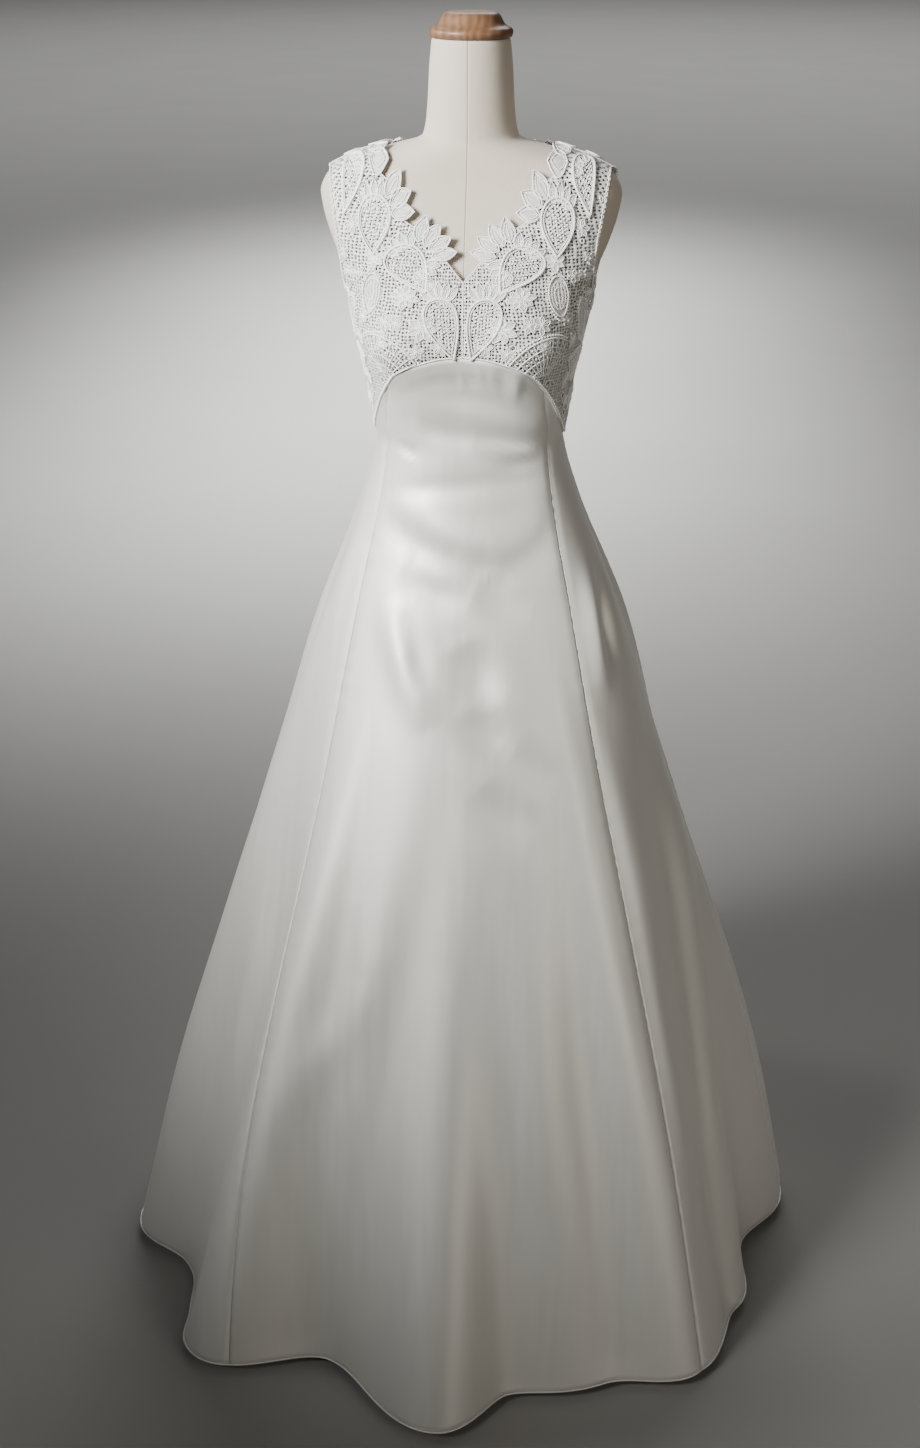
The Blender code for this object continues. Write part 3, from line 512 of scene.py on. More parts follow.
# Each crease: points by angle and height, width and rise, all in millimetres, and 1 if its last end stays open
creases = {
    "facing": ([(-43, 1218), (-28, 1239), (-14, 1246), (0, 1247), (14, 1248), (27, 1239), (42, 1220)], 7, -2.6),
    "facing roll": ([(-40, 1240), (-20, 1260), (0, 1264), (20, 1261), (40, 1240)], 11, 2.2),
    "step": ([(22, 1271), (24, 1251), (27, 1230)], 8, -1.8),
    "step light": ([(30, 1261), (34, 1218)], 8, 2.4),
    "top rib a": ([(-1, 1262), (0, 1232)], 5, 1.3),
    "top rib b": ([(10, 1266), (12, 1240)], 5, 1.0),
    "top rib c": ([(17, 1266), (18, 1244)], 5, 0.8),
    "waist": ([(-58, 1098), (-25, 1110), (12, 1116), (47, 1120), (63, 1119)], 13, -3.2),
    "under bust": ([(-24, 1226), (6, 1220), (38, 1204)], 19, -3.6),
    "band": ([(-27, 1219), (4, 1209), (32, 1195), (59, 1172)], 15, 5.6),
    "drag a": ([(-7, 1180), (26, 1173), (60, 1159)], 8, -3.0),
    "drag b": ([(4, 1158), (34, 1157), (60, 1150)], 8, 3.0),
    "drag c": ([(20, 1135), (42, 1139), (60, 1142)], 8, -2.7),
    "shadow": ([(-34, 1187), (-14, 1178), (7, 1169)], 14, -5.2),
    "pinch": ([(-50, 1157), (-33, 1149)], 5, -3.6),
    "u drape": ([(-54, 1074), (-35, 1049), (-15, 1029), (5, 1017), (22, 1011), (39, 1025), (55, 1054)], 22, -8.0),
    "u ridge": ([(-51, 1092), (-22, 1059), (5, 1042), (27, 1039), (53, 1077)], 27, 5.6),
    "second drape": ([(-38, 1001), (-13, 986), (9, 978)], 22, -6.0),
    "second light": ([(-30, 1020), (-8, 1005), (16, 996)], 24, 3.6),
    "dimple a": ([(8, 990), (22, 975), (37, 962)], 27, -8.0),
    "dimple b": ([(1, 925), (8, 890), (13, 850)], 31, -9.5),
    "dimple c": ([(4, 850), (12, 817), (21, 795)], 28, -10.0),
    "dimple d": ([(17, 805), (26, 778), (33, 748)], 24, -6.0),
    "dimple e": ([(9, 760), (17, 724), (25, 695)], 30, -8.0),
    "left fold": ([(-37, 978), (-28, 926), (-20, 874), (-12, 823)], 25, 9.6),
    "left fold foot": ([(-31, 966), (-22, 915), (-14, 862)], 17, -6.1),
    "diagonal": ([(-22, 520), (-26, 455), (-30, 400), (-33, 330)], 28, 5.5),
    "left edge fold": ([(-64, 613), (-59, 489), (-57, 350), (-57, 200), (-58, 32)], 32, 10.4, 1),
    "left edge groove": ([(-52, 640), (-49, 450), (-47, 250), (-47, 30)], 27, -11.1, 1),
    "groove": ([(77, 985), (72, 932), (68, 873)], 15, -12),
    "groove ridge": ([(70, 1010), (64, 930), (61, 850)], 17, 8.2),
    "right fold": ([(84, 720), (82, 644), (77, 534), (70, 399), (64, 292), (62, 100)], 30, 13.8),
    "right fold groove": ([(74, 760), (70, 600), (63, 420), (57, 250), (56, 40)], 27, -12.5, 1),
    "right inner fold": ([(57, 800), (54, 600), (50, 400), (48, 180)], 27, 9),
    "long a": ([(-9, 718), (-12, 527), (-13, 319), (-12, 91)], 38, -6),
    "long b": ([(13, 627), (12, 449), (12, 265), (13, 31)], 40, -8, 1),
    "long c": ([(31, 667), (31, 474), (31, 274), (31, 52)], 36, -5, 1),
    "long d": ([(-31, 608), (-29, 423), (-28, 229), (-26, 51)], 36, -6, 1),
    "long e": ([(22, 560), (21, 360), (22, 120)], 34, 4.5),
    "long f": ([(-20, 640), (-20, 400), (-19, 150)], 36, 3.8),
    "side left a": ([(98, 1040), (101, 880), (104, 700)], 21, 8.2),
    "side left b": ([(110, 900), (112, 640), (114, 380)], 28, -10.4),
    "side left c": ([(92, 560), (94, 330), (95, 40)], 30, 10.4, 1),
    "side left d": ([(126, 760), (128, 480), (129, 150)], 30, 9),
    "side right a": ([(-80, 1050), (-83, 900), (-84, 740)], 19, -8.2),
    "side right b": ([(-97, 960), (-99, 700), (-101, 420)], 27, 9.6),
    "side right c": ([(-113, 820), (-116, 520), (-118, 200)], 28, -10.4),
    "side right d": ([(-131, 640), (-133, 330), (-134, 40)], 32, 10.4, 1),
    "back drape a": ([(-174, 1066), (-152, 1038), (-124, 1060)], 25, -4.4),
    "back drape b": ([(128, 1084), (150, 1052), (174, 1070)], 25, -4.4),
    "back a": ([(163, 930), (165, 660), (166, 350)], 28, 9.6),
    "back b": ([(149, 820), (150, 520), (152, 180)], 28, -10.4),
    "back c": ([(-157, 900), (-156, 600), (-155, 260)], 27, -9.6),
    "back d": ([(-172, 760), (-173, 480), (-174, 40)], 30, 9, 1),
    "back e": ([(-142, 980), (-143, 760), (-145, 560)], 23, 7.6),
}


def seamAngle(seam, height):
    if abs(seam) == 1:
        return np.radians(readCurve(princessSeams, 1 if seam < 0 else 2, height))
    fixed = {2: 90.0, 3: 141.0, 4: 180.0}[abs(seam)]
    return np.radians(math.copysign(fixed, seam)) + 0 * height


def topEdge(angle):
    pattern = patterns["front"]
    turned = np.abs(angle)
    across = np.interp(turned, pattern["angle"], pattern["along"])
    arch = readCurve(archRows, 1, across * archRows[-1][0] / pattern["side"])
    return np.where(turned < math.pi / 2, arch, levels["waist"])


def creaseHeight(angle, height, radius):
    # soft troughs and ridges, each fading out at its closed ends
    total = np.zeros_like(angle)
    for points, width, rise, *opened in creases.values():
        reach = width * 0.001
        turns = [math.radians(turn) for turn, _ in points]
        drops = [drop / 1000 for _, drop in points]
        near = (height > min(drops) - 4 * reach) & (height < max(drops) + 4 * reach)
        near &= (angle > min(turns) - 0.5) & (angle < max(turns) + 0.5)
        if not near.any():
            continue
        a, h, r = angle[near], height[near], radius[near]
        best = np.full(len(a), 1e9)
        where = np.zeros(len(a))
        count = len(points) - 1
        for i in range(count):
            spanX, spanY = (turns[i + 1] - turns[i]) * r, drops[i + 1] - drops[i]
            awayX, awayY = (a - turns[i]) * r, h - drops[i]
            t = np.clip((awayX * spanX + awayY * spanY) / (spanX ** 2 + spanY ** 2), 0, 1)
            gap = np.hypot(awayX - t * spanX, awayY - t * spanY)
            where = np.where(gap < best, (i + t) / count, where)
            best = np.minimum(best, gap)
        fade = np.sin(math.pi / 2 * np.clip(where * 2, 0, 1) if opened else math.pi * np.clip(where, 0, 1))
        spread = np.exp(-(best / reach) ** 2) - 0.22 * np.exp(-(best / (2.1 * reach)) ** 2)
        total[near] += rise * 0.001 * spread * (0.12 + 0.88 * fade)
    return total


def clothLife(angle, height):
    # slow unevenness that hanging cloth has
    slow = np.sin(9.0 * angle + 5.2 * height + 0.7) * np.sin(11.0 * height + 2.1 * angle)
    quick = np.sin(17.0 * angle - 7.0 * height + 2.0) * np.sin(6.3 * height + 1.0)
    return (slow + 0.5 * quick) * np.clip((1.15 - height) * 1.6, 0.1, 1)


def makeGore(node, seams, columns, rows):
    look = skirtCloth
    piece, share, up = gridPiece(columns, rows)
    joint = np.array(princessSeams[-1][0])
    ends = [seamAngle(seam, joint) for seam in seams]
    top = topEdge(ends[0] + (ends[1] - ends[0]) * share)
    height = levels["hem"] + (top - 0.0002 - levels["hem"]) * up
    edges = [levels["hem"] + (topEdge(end) - levels["hem"]) * up for end in ends]
    fromAngle, toAngle = (seamAngle(seam, edge) for seam, edge in zip(seams, edges))
    trim = look["seamGap"] / 2 / skirtRadius(fromAngle, height)
    angle = (fromAngle + trim) * (1 - share) + (toAngle - trim) * share
    radius = skirtRadius(angle, height)
    step = 2e-4
    here = around(radius, angle, height)
    normal = unit(np.cross(around(skirtRadius(angle + step, height), angle + step, height) - here,
                           around(skirtRadius(angle, height + step), angle, height + step) - here))
    toSeam = np.minimum(share, 1 - share) * (toAngle - fromAngle) * radius
    nearSeam = np.exp(-(toSeam / look["calmReach"]) ** 2)
    pitch = height / look["puckerPitch"] + 3 * np.sin(height * 40)
    roll = np.where(top > levels["waist"] + 0.001, look["archRoll"], look["waistRoll"])
    away = look["away"] + creaseHeight(angle, height, radius) * (1 - nearSeam * look["calm"])
    away = away + look["wave"] * clothLife(angle, height) * np.clip(toSeam / look["waveReach"], 0, 1)
    away = away - look["seamDip"] * np.exp(-(toSeam / look["seamReach"]) ** 2)
    away = away + look["pucker"] * np.sin(pitch) * nearSeam
    away = away + roll * np.exp(-((top - height) / look["rollReach"]) ** 2)
    # never into the form
    away = np.maximum(away, np.where(height > look["aboveFrom"], look["deepestAbove"], look["deepest"]))
    laid = here + normal * away[:, None]
    writePoints(piece, laid)
    writeMap(piece, angle * radius, height)
    hem = np.flatnonzero(up < 1e-6)
    hemLines.append(laid[hem[np.argsort(share[hem])]])
    area = sheetArea(piece)
    giveWall(piece, look["wall"])
    finishPiece(piece, node.replace("skirt", "satin"), satin, "satin", node)
    # the laid cloth's points, sorted into its rows and columns
    woven = laid[np.lexsort((share.round(6), up.round(6)))].reshape(-1, columns + 1, 3)
    return area


hemLines = []
for gore in gores:
    print("gore", gore[0], round(makeGore(*gore), 3), "m2")


# Dress form, neck cap and stand

formEase = [(1.425, 0.0038), (1.478, 0.0014)]


def makeForm():
    body = np.linspace(levels["formBottom"] + 0.006, 1.618, 150)
    stations = [(levels["formBottom"], 0.0), (levels["formBottom"], 0.5), (levels["formBottom"], 0.96)]
    stations += [(height, 1.0) for height in body]
    stations += [(1.6212, 0.985), (1.6217, 0.93), (1.6217, 0.5), (1.6217, 0.0)]
    piece, share, up = gridPiece(112, len(stations) - 1)
    row = np.rint(up * (len(stations) - 1)).astype(int)
    height = np.array([station[0] for station in stations])[row]
    shrink = np.array([station[1] for station in stations])[row]
    turn = (share - 0.5) * 2 * math.pi
    angle = np.arctan2(1.5 * np.sin(turn), np.cos(turn))
    angle = np.where(share > 0.9999, math.pi, np.where(share < 0.0001, -math.pi, angle))
    ease = np.interp(height, *zip(*formEase))
    writePoints(piece, around((formRadius(angle, height) - ease) * shrink, angle, height))
    mergePoints(piece)
    finishPiece(piece, "form_torso", formCloth, "form_cloth", "form_body")
    bpy.ops.object.shade_smooth_by_angle(angle=math.radians(50))


capProfile = [  # radius and height above the neck, from the bottom up
    (0.0455, 0.0), (0.0472, 0.0012), (0.0482, 0.0036), (0.0486, 0.0062), (0.048, 0.0085),
    (0.0466, 0.0103), (0.0446, 0.0114), (0.0424, 0.0124), (0.0398, 0.014), (0.0377, 0.0164),
    (0.0362, 0.0192), (0.0346, 0.0222), (0.0328, 0.0248), (0.0303, 0.0268), (0.027, 0.0277),
    (0.023, 0.028), (0.012, 0.028),
]


def makeCap():
    dropSelection()
    radius, up = capProfile[0]
    bpy.ops.mesh.primitive_circle_add(vertices=72, radius=radius, fill_type="NGON",
                                      location=(0, 0, levels["neck"] + up))
    piece = bpy.context.active_object
    startEdit()
    for (oldRadius, oldUp), (newRadius, newUp) in zip(capProfile, capProfile[1:]):
        bpy.ops.mesh.extrude_region_move(TRANSFORM_OT_translate={"value": (0, 0, newUp - oldUp)})
        ratio = newRadius / oldRadius
        bpy.ops.transform.resize(value=(ratio, ratio, 1), center_override=(0, 0, levels["neck"]))
    bpy.ops.mesh.select_all(action="SELECT")
    bpy.ops.mesh.normals_make_consistent(inside=False)
    endEdit()
    bpy.ops.object.transform_apply(location=True, rotation=True, scale=True)
    finishPiece(piece, "wooden_neck_cap", wood, "wood", "neck_cap")
    bpy.ops.object.shade_smooth_by_angle(angle=math.radians(40))


makeForm()
makeCap()
for nodeName in ("stand_base", "stand_pole"):
    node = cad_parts[nodeName]
    for slot in node.material_slots:
        slot.material = standPaint
print("form, cap and stand done")


# Bodice: lining, lace ground, cords, stitched leaves and dots

bodice = {"liningAway": 0.0014, "liningWall": 0.0009, "laceAway": 0.0046, "laceWall": 0.0009, "edgeCord": 0.00075,
          "cordLift": 0.0009, "cordRise": 0.35, "moundLift": 0.0002, "moundDrop": 0.0006, "flat": (0.23, 0.38)}
satinEdges = {"archRadius": 0.0013, "archSink": -0.0014, "archBelow": 0.0004, "hemRadius": 0.0014, "hemLift": 0.0008}


def outerCopy(node):
    # merged copy of a cloth wall's outer side
    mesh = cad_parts[node].data.copy()
    piece = addPiece(node + "_copy", mesh)
    mergePoints(piece)
    bpy.ops.mesh.customdata_custom_splitnormals_clear()
    centres = np.array([polygon.center[:] for polygon in mesh.polygons])
    normals = np.array([polygon.normal[:] for polygon in mesh.polygons])
    for polygon, facing in zip(mesh.polygons, (normals * unit(formSlope(centres))).sum(axis=-1)):
        polygon.select = bool(facing < 0.45)
    bpy.ops.object.mode_set(mode="EDIT")
    bpy.ops.mesh.select_mode(type="FACE")
    bpy.ops.mesh.delete(type="FACE")
    bpy.ops.mesh.select_all(action="SELECT")
    bpy.ops.mesh.delete_loose(use_verts=True, use_edges=True, use_faces=False)
    bpy.ops.mesh.select_all(action="SELECT")
    bpy.ops.mesh.subdivide(number_cuts=2)
    endEdit()
    return piece


def edgeCord(sheet, name):
    # cord sewn along every edge of the lace, round its gaps too
    useOnly(sheet)
    startEdit("DESELECT")
    bpy.ops.mesh.select_mode(type="EDGE")
    bpy.ops.mesh.select_non_manifold()
    bpy.ops.mesh.duplicate()
    bpy.ops.mesh.separate(type="SELECTED")
    endEdit()
    piece = [item for item in bpy.context.selected_objects if item is not sheet][0]
    useOnly(piece)
    bpy.ops.object.convert(target="CURVE")
    piece = bpy.context.active_object
    piece.data.bevel_depth = bodice["edgeCord"]
    piece.data.bevel_resolution = 0
    bpy.ops.object.convert(target="MESH")
    piece = bpy.context.active_object
    return finishPiece(piece, name, cordThread, "lace")


# Stitched motifs: their lengths are in millimetres, and metres() turns them when they are sewn
petalFans = {  # centre across and up, radius of the notches and tips, first and last angle, petals
    "front": [(60, 1394, 38.5, 54, 178, 98, 4), (104, 1450, 34, 48, 192, 122, 3), (134, 1502, 42, 50, 204, 150, 2),
              (25, 1329, 24, 39, 128, 40, 5), (60, 1394, 26, 37, 98, 20, 4), (104, 1450, 22, 33, 122, 40, 4),
              (60, 1394, 26, 35, 258, 182, 4), (142, 1496, 18, 28, 200, 110, 4)],
    "back": [(40, 1415, 29, 41, 184, 82, 4), (96, 1462, 30, 42, 196, 100, 4), (134, 1504, 36, 45, 196, 150, 2),
             (28, 1330, 24, 38, 130, 40, 5), (27, 1237, 23, 37, 130, 30, 5), (115, 1330, 23, 36, 150, 40, 5),
             (118, 1227, 21, 33, 150, 40, 5)],
}
medallions = {  # across, up, head radius, tail length, direction of the tail, curl of the tail
    "front": [(26.5, 1323, 21.5, 50, -98, -0.45), (68, 1388, 26.5, 42, -106, -0.55),
              (106, 1446, 23.5, 40, -78, -0.35), (134, 1496, 19, 36, -62, -0.25)],
    "back": [(28, 1330, 20.5, 46, -84, 0.25), (44, 1411, 19.5, 42, -86, 0.3), (98, 1461, 18, 40, -62, 0.3),
             (140, 1502, 15, 32, -66, 0.25), (27, 1237, 20, 48, -84, 0.25), (115, 1330, 19, 50, -82, 0.25),
             (118, 1227, 17.5, 40, -80, 0.25)],
}
flowers = {  # across, up, petal length, petals, turn
    "front": [(67, 1345, 18, 8, 12), (44, 1309, 17, 7, 30), (26, 1288, 10, 5, 90), (104, 1399, 14, 6, 40),
              (135, 1447, 12, 6, 15), (147, 1240, 12, 6, 0), (146, 1388, 11, 5, 10), (88, 1313, 12, 6, 20),
              (36, 1362, 10, 5, 20), (74, 1313, 10, 6, 0), (90, 1290, 10, 5, 45), (130, 1383, 12, 6, 30),
              (138, 1290, 11, 6, 0), (125, 1315, 10, 5, 0), (50, 1283, 8.5, 5, 20), (162, 1355, 12, 6, 0),
              (150, 1415, 10, 5, 0), (170, 1290, 10, 6, 20), (183, 1255, 11, 5, 0), (178, 1205, 11, 6, 0),
              (160, 1210, 10, 5, 30)],
    "back": [(75, 1368, 16, 7, 10), (72, 1284, 17, 8, 20), (133, 1406, 14, 6, 15), (165, 1290, 14, 6, 0),
             (75, 1195, 15, 7, 0), (156, 1230, 13, 6, 0), (20, 1180, 11, 5, 90), (160, 1350, 12, 6, 10),
             (68, 1328, 13, 6, 25), (102, 1393, 13, 6, 30), (150, 1450, 12, 5, 0), (20, 1286, 11, 5, 20),
             (96, 1256, 12, 6, 0), (144, 1262, 13, 6, 40), (60, 1240, 12, 5, 10), (100, 1205, 12, 6, 20),
             (188, 1320, 12, 6, 0), (196, 1260, 13, 6, 15), (190, 1210, 12, 5, 30), (80, 1420, 11, 5, 40),
             (20, 1376, 11, 5, 0), (132, 1368, 12, 6, 50), (100, 1305, 11, 5, 15), (30, 1205, 11, 5, 30)],
}
fans = {  # across and up of the root, radius, first and last angle, ribs
    "front": [(99, 1245, 56, 152, 62, 11), (168, 1228, 48, 128, 60, 8)],
    "back": [(170, 1178, 42, 130, 50, 8), (50, 1172, 34, 150, 60, 7)],
}
ovals = {  # across, up, half width, half height, lean
    "front": [(112, 1350, 15, 35, 8), (156, 1315, 12, 30, 14)],
    "back": [(153, 1320, 11, 28, 12)],
}
armholeEdge = [  # across and up, in metres
    (0.188, 1.512), (0.177, 1.492), (0.167, 1.47), (0.16, 1.445), (0.158, 1.412), (0.166, 1.372), (0.186, 1.345),
]
stitch = {  # radii of cords and beads, and how far apart beads, dots and picots lie, in metres
    "outline": 0.001, "inner": 0.00055, "vein": 0.00045, "medallion": 0.0016, "medallionInner": 0.0008,
    "netDot": 0.00125, "netPitch": 0.004, "netRow": 0.0034, "flowerDot": 0.0019, "fanRib": 0.00065,
    "fanBead": 0.0013, "fanDot": 0.0011, "ovalRib": 0.0004, "ovalBead": 0.0012, "beadPitch": 0.0034,
    "picot": 0.0006, "picotSize": 0.0017, "picotPitch": 0.0052, "archBead": 0.0014, "archPitch": 0.0037,
    "archBeads": (0.085, 0.203), "archLift": 0.001,
}


def fullTurn(count):
    return np.linspace(0, 2 * math.pi, count, endpoint=False)


def circlePoints(turns):
    return stacked(np.cos(turns), np.sin(turns))


def turnedBy(points, degrees, across, up):
    angle = math.radians(degrees)
    x, y = points[:, 0], points[:, 1]
    return stacked(across + x * math.cos(angle) - y * math.sin(angle),
                   up + x * math.sin(angle) + y * math.cos(angle))


def leafShape(length, halfWidth, count=7):
    t = np.linspace(0, 1, count)
    width = halfWidth * np.sin(math.pi * t ** 0.85) ** 0.9
    upper = stacked(t * length, width)
    lower = stacked(t[::-1] * length, -width[::-1])
    return np.concatenate([upper, lower[1:-1]])


def dropShape(head, tail, curl, count=34):
    t = fullTurn(count)
    half = (head + tail) / 2
    along = np.cos(t) * half + (tail - head) / 2
    across = head * 1.18 * np.sin(t) * np.sin(t / 2) ** 1.15
    return stacked(along, across + curl * head * ((np.cos(t) + 1) / 2) ** 2)


def insideShape(shape, points):
    x, y = points[:, 0], points[:, 1]
    inside = np.zeros(len(points), bool)
    for (x0, y0), (x1, y1) in zip(shape, np.roll(shape, -1, axis=0)):
        crosses = (y0 > y) != (y1 > y)
        inside ^= crosses & (x < x0 + (x1 - x0) * (y - y0) / (y1 - y0 if y1 != y0 else 1e-9))
    return inside


class LaceHalf:
    # everything stitched on one lace panel, in flat pattern distances
    def __init__(self, facing):
        self.facing = facing
        self.cords, self.pads, self.dots = [], [], []

    def cord(self, points, radius, closed=False):
        self.cords.append((np.asarray(points, float), radius, closed))

    def pad(self, shape, centre, rise):
        self.pads.append((np.asarray(shape, float), np.asarray(centre, float), rise))

    def dotRow(self, spots, radius):
        self.dots += [(spot, radius) for spot in spots]

    def leaf(self, across, up, degrees, start, length, halfWidth):
        shape = leafShape(length, halfWidth)
        shape[:, 0] += start
        placed = turnedBy(shape, degrees, across, up)
        middle = turnedBy(np.array([[start + length * 0.5, 0.0]]), degrees, across, up)[0]
        self.pad(placed, middle, 0.0004)
        self.cord(placed, min(stitch["outline"], halfWidth * 0.24), True)
        if halfWidth > 0.0032:
            inner = leafShape(length * 0.72, halfWidth * 0.55)
            inner[:, 0] += start + length * 0.1
            self.cord(turnedBy(inner, degrees, across, up), stitch["inner"], True)
        vein = np.array([[start + length * share, 0.0] for share in (0.05, 0.35, 0.7)])
        self.cord(turnedBy(vein, degrees, across, up), stitch["vein"])

    def petalFan(self, across, up, notch, tip, first, last, petals):
        step = (last - first) / petals
        half = abs(math.radians(step)) * notch * 0.6
        start = notch * 0.62
        for i in range(petals):
            self.leaf(across, up, first + step * (i + 0.5), start, tip - start, half)

    def medallion(self, across, up, head, tail, degrees, curl):
        shape = dropShape(head, tail, curl)
        self.cord(turnedBy(shape, degrees, across, up), stitch["medallion"], True)
        self.cord(turnedBy(shape * 0.86, degrees, across, up), stitch["medallionInner"], True)
        spots = np.array([((i + 0.5 * (j % 2)) * stitch["netPitch"], j * stitch["netRow"])
                          for i in range(-20, 30) for j in range(-20, 30)])
        self.dotRow(turnedBy(spots[insideShape(shape * 0.76, spots)], degrees, across, up), stitch["netDot"])

    def flower(self, across, up, length, petals, turn):
        for i in range(petals):
            size = length * (1.0 - 0.16 * (i % 2))
            self.leaf(across, up, turn + 360 * i / petals, length * 0.12, size * 0.88, length * 0.24)
        self.dotRow([np.array([across, up])], stitch["flowerDot"])

    def fan(self, across, up, radius, first, last, ribs):
        root = np.array([across, up])
        turns = np.radians(np.linspace(first, last, ribs))
        for way in circlePoints(turns):
            self.cord(root + np.linspace(0.18, 0.94, 7)[:, None] * radius * way, stitch["fanRib"])
        ring = circlePoints(np.radians(np.linspace(first, last, 4 * ribs)))
        for share, thick in ((0.34, 0.0006), (0.56, 0.0006), (0.76, 0.0007), (0.94, 0.0011)):
            self.cord(root + ring * radius * share, thick)
        beads = int(abs(math.radians(last - first)) * radius / stitch["beadPitch"])
        self.dotRow(root + radius * circlePoints(np.radians(np.linspace(first, last, beads))), stitch["fanBead"])
        for way in circlePoints((turns[:-1] + turns[1:]) / 2):
            self.dotRow([root + radius * share * way for share in (0.66, 0.85)], stitch["fanDot"])

    def oval(self, across, up, halfWidth, halfHeight, lean):
        size = (halfWidth, halfHeight)
        shape = circlePoints(fullTurn(30)) * size
        self.pad(turnedBy(shape * 0.9, lean, across, up), (across, up), 0.0003)
        for share, thick in ((0.86, 0.0009), (0.62, 0.0005), (0.38, 0.0005)):
            self.cord(turnedBy(shape * share, lean, across, up), thick, True)
        for i in range(5):
            rib = stacked(np.full(5, (i - 2) * 0.28), np.linspace(-0.6, 0.6, 5)) * size
            self.cord(turnedBy(rib, lean, across, up), stitch["ovalRib"])
        beads = int(2 * math.pi * (halfWidth + halfHeight) / 2 / stitch["beadPitch"])
        self.dotRow(turnedBy(circlePoints(fullTurn(beads)) * size, lean, across, up), stitch["ovalBead"])

    def picots(self, path):
        path = np.asarray(path, float)
        length = np.concatenate([[0], np.cumsum(np.linalg.norm(np.diff(path, axis=0), axis=1))])
        loop = stitch["picotSize"] * circlePoints(fullTurn(7))
        for at in np.arange(stitch["picotPitch"] / 2, length[-1], stitch["picotPitch"]):
            centre = np.array([np.interp(at, length, path[:, k]) for k in (0, 1)])
            self.cord(centre + loop, stitch["picot"], True)


def layPiping(side, name):
    # rolled satin edge along the arch
    pattern = patterns["front"]
    across = np.interp(np.linspace(0.0, math.pi / 2, 90), pattern["angle"], pattern["along"])
    arch = readCurve(archRows, 1, across * archRows[-1][0] / pattern["side"])
    half = LaceHalf("front")
    half.cord(stacked(side * across, arch - satinEdges["archBelow"]), satinEdges["archRadius"])
    return finishPiece(layCords(half, 1, name, satinEdges["archSink"]), name, satin, "satin")


def stitchHalf(facing):
    half = LaceHalf(facing)
    for motifs, lengths, sew in ((petalFans, 4, half.petalFan), (medallions, 4, half.medallion),
                                 (flowers, 3, half.flower), (fans, 3, half.fan), (ovals, 4, half.oval)):
        for row in motifs[facing]:
            sew(*metres(row, lengths))
    half.picots(armholeEdge)
    if facing == "front":  # beads where the lace ends beside the arch
        for across in np.arange(*stitch["archBeads"], stitch["archPitch"]):
            up = float(readCurve(archRows, 1, across)) + stitch["archLift"]
            half.dotRow([np.array([across, up])], stitch["archBead"])
    return half


def layCords(half, side, name, sink=0.0):
    counts = [len(points) for points, _, _ in half.cords]
    lifts = [bodice["laceAway"] + bodice["cordLift"] + radius * bodice["cordRise"] for _, radius, _ in half.cords]
    flat = np.concatenate([points for points, _, _ in half.cords]) * np.array([side, 1.0])
    placed = np.split(layOnForm(flat, half.facing, sink + np.repeat(lifts, counts)), np.cumsum(counts)[:-1])
    return cordPiece([(part, radius, closed) for part, (_, radius, closed) in zip(placed, half.cords)], name,
                     cordThread, "lace")


def layRaised(shapes, facing, side, name, material, drop=bodice["moundDrop"]):
    # one soft mound for each flat shape: its edge low, a smaller ring and its middle high
    flat, lift, faces = [], [], []
    outward = side if facing == "front" else -side
    for shape, centre, rise in shapes:
        first, count = len(flat), len(shape)
        after = np.roll(shape, -1, axis=0)
        outside = outward * (shape[:, 0] * after[:, 1] - after[:, 0] * shape[:, 1]).sum() > 0
        flat += [*shape, *(shape * 0.55 + centre * 0.45), centre]
        lift += [bodice["laceAway"] - drop] * count
        lift += [bodice["laceAway"] + bodice["moundLift"] + rise] * (count + 1)
        for i in range(count):
            j = (i + 1) % count
            low, high = (first + i, first + j), (first + count + i, first + count + j)
            for face in ((*low, high[1], high[0]), (*high, first + 2 * count)):
                faces.append(face if outside else face[::-1])
    placed = layOnForm(np.array(flat) * np.array([side, 1.0]), facing, np.array(lift))
    mesh = bpy.data.meshes.new(name)
    mesh.from_pydata([tuple(point) for point in placed], [], faces)
    return finishPiece(addPiece(name, mesh), name, material, "lace")


def dotShapes(half):
    ring = circlePoints(fullTurn(6))
    return [(spot + ring * size, spot, size * 0.9 + 0.0006) for spot, size in half.dots]


def cordPiece(lines, name, material, slot):
    # round cords along rows of points, each row with its radius and whether it is a ring
    curve = bpy.data.curves.new(name, "CURVE")
    curve.dimensions = "3D"
    curve.bevel_depth = 0.001
    curve.bevel_resolution = 0
    for part, radius, closed in lines:
        spline = curve.splines.new("POLY")
        spline.points.add(len(part) - 1)
        spline.points.foreach_set("co", np.concatenate([part, np.ones((len(part), 1))], axis=1).ravel())
        spline.points.foreach_set("radius", np.full(len(part), radius / 0.001))
        spline.use_cyclic_u = closed
    useOnly(addPiece(name, curve))
    bpy.ops.object.convert(target="MESH")
    return finishPiece(bpy.context.active_object, name, material, slot)


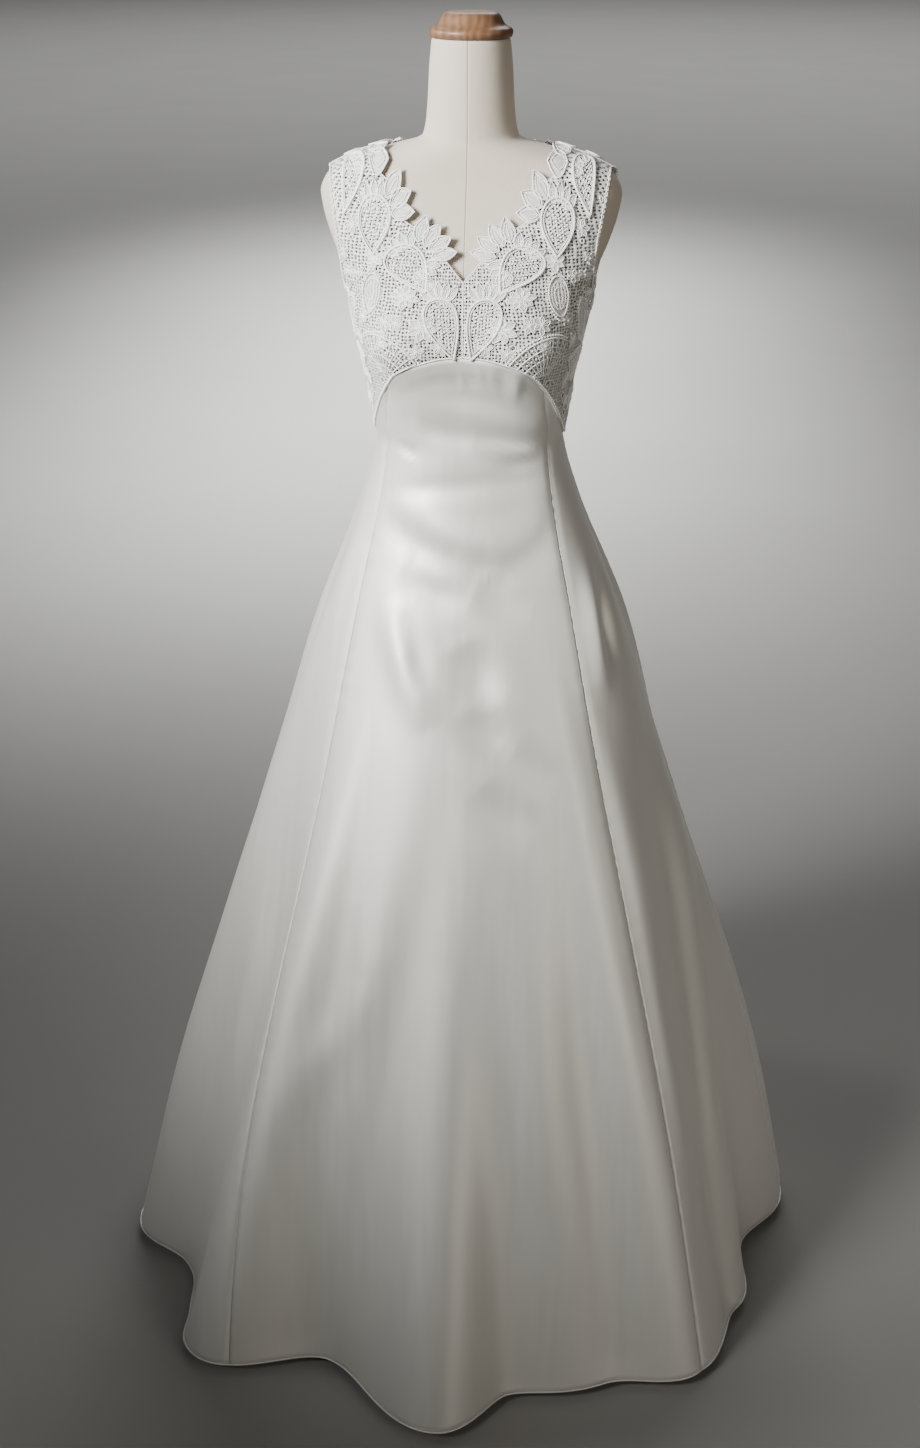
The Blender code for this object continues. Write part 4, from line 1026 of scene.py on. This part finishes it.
hemCords = [(line + np.array([0, 0, satinEdges["hemLift"]]), satinEdges["hemRadius"], False) for line in hemLines]
cordPiece(hemCords, "satin_hem_edge", satin, "satin")
for facing in ("front", "back"):
    half = stitchHalf(facing)
    print(facing, "cords", len(half.cords), "leaves", len(half.pads), "dots", len(half.dots))
    for side, word in ((1, "left"), (-1, "right")):
        tail = f"{facing}_{word}"
        lining = outerCopy(f"lining_{tail}")
        writePoints(lining, restOnForm(readPoints(lining), bodice["liningAway"]))
        giveWall(lining, bodice["liningWall"])
        finishPiece(lining, f"bodice_lining_{tail}", shadedLiningCloth, "lining", f"lining_{tail}")
        ground = outerCopy(f"lace_{tail}")
        writePoints(ground, restOnForm(readPoints(ground), bodice["laceAway"]))
        edging = edgeCord(ground, f"lace_edging_{tail}")
        giveWall(ground, bodice["laceWall"])
        finishPiece(ground, f"guipure_{tail}", laceGround, "lace", f"lace_{tail}")
        cords = layCords(half, side, f"lace_cords_{tail}")
        leaves = layRaised(half.pads, facing, side, f"lace_leaves_{tail}", shadedLeafStitch)
        dots = layRaised(dotShapes(half), facing, side, f"lace_dots_{tail}", cordThread, -0.0002)
        if facing == "front":
            layPiping(side, f"satin_arch_edge_{word}")
    print(facing, "bodice done")


# Floor, light and camera

studio = {"key": 25.0, "fill": 5.2, "rim": 4.2, "back": 215.0, "far": 2700.0, "world": 0.05}


def addLight(name, place, aim, size, energy, colour, spread=180.0):
    lamp = bpy.data.lights.new(name, "AREA")
    lamp.shape = "RECTANGLE"
    lamp.size, lamp.size_y = size
    lamp.energy, lamp.color, lamp.spread = energy, colour, math.radians(spread)
    item = addPiece(name, lamp)
    item.location = place
    offset = [a - b for a, b in zip(aim, place)]
    flat = math.hypot(offset[0], offset[1])
    item.rotation_euler = (math.atan2(flat, -offset[2]), 0, math.atan2(-offset[0], offset[1]))


dropSelection()
bpy.ops.mesh.primitive_plane_add(size=240.0, location=(0, 60.0, 0))
floor = bpy.context.active_object
floor.name = "studio_floor"
floor.data.materials.append(makeFloorLook())

addLight("key", (-1.7, -1.85, 2.45), (0, 0, 1.48), (1.0, 1.0), studio["key"], (1.0, 0.995, 0.98), 52.0)
addLight("fill", (2.5, -2.2, 1.8), (0.1, 0, 0.98), (2.0, 2.0), studio["fill"], (1.0, 0.94, 0.83), 66.0)
addLight("rim", (-2.2, 0.2, 2.1), (-0.1, 0, 1.25), (1.0, 1.0), studio["rim"], (1.0, 1.0, 1.0), 42.0)
addLight("back", (-0.6, 5.1, 3.2), (-0.6, 5.09, 0.0), (0.9, 5.0), studio["back"], (0.95, 0.97, 1.0), 76.0)
addLight("far", (0.0, 17.0, 12.0), (0, 16.99, 0.0), (12.0, 12.0), studio["far"], (0.95, 0.97, 1.0))

world = bpy.data.worlds.new("studio_world")
world.use_nodes = True
sky = world.node_tree.nodes["Background"].inputs
sky["Color"].default_value = (0.8, 0.82, 0.85, 1.0)
sky["Strength"].default_value = studio["world"]
bpy.context.scene.world = world

cameraView = {"distance": 2.37, "height": 1.8157, "down": 24.1, "around": 5.0, "aside": -0.013, "lens": 48.43}
turn = math.radians(cameraView["around"])
lens = bpy.data.cameras.new("photo_camera")
lens.lens = cameraView["lens"]
lens.sensor_width = 36.0
camera = addPiece("photo_camera", lens)
camera.location = (cameraView["distance"] * math.sin(turn) + cameraView["aside"] * math.cos(turn),
                   -cameraView["distance"] * math.cos(turn) + cameraView["aside"] * math.sin(turn),
                   cameraView["height"])
camera.rotation_euler = (math.radians(90 - cameraView["down"]), 0, turn)
bpy.context.scene.camera = camera
print("floor, light and camera set")
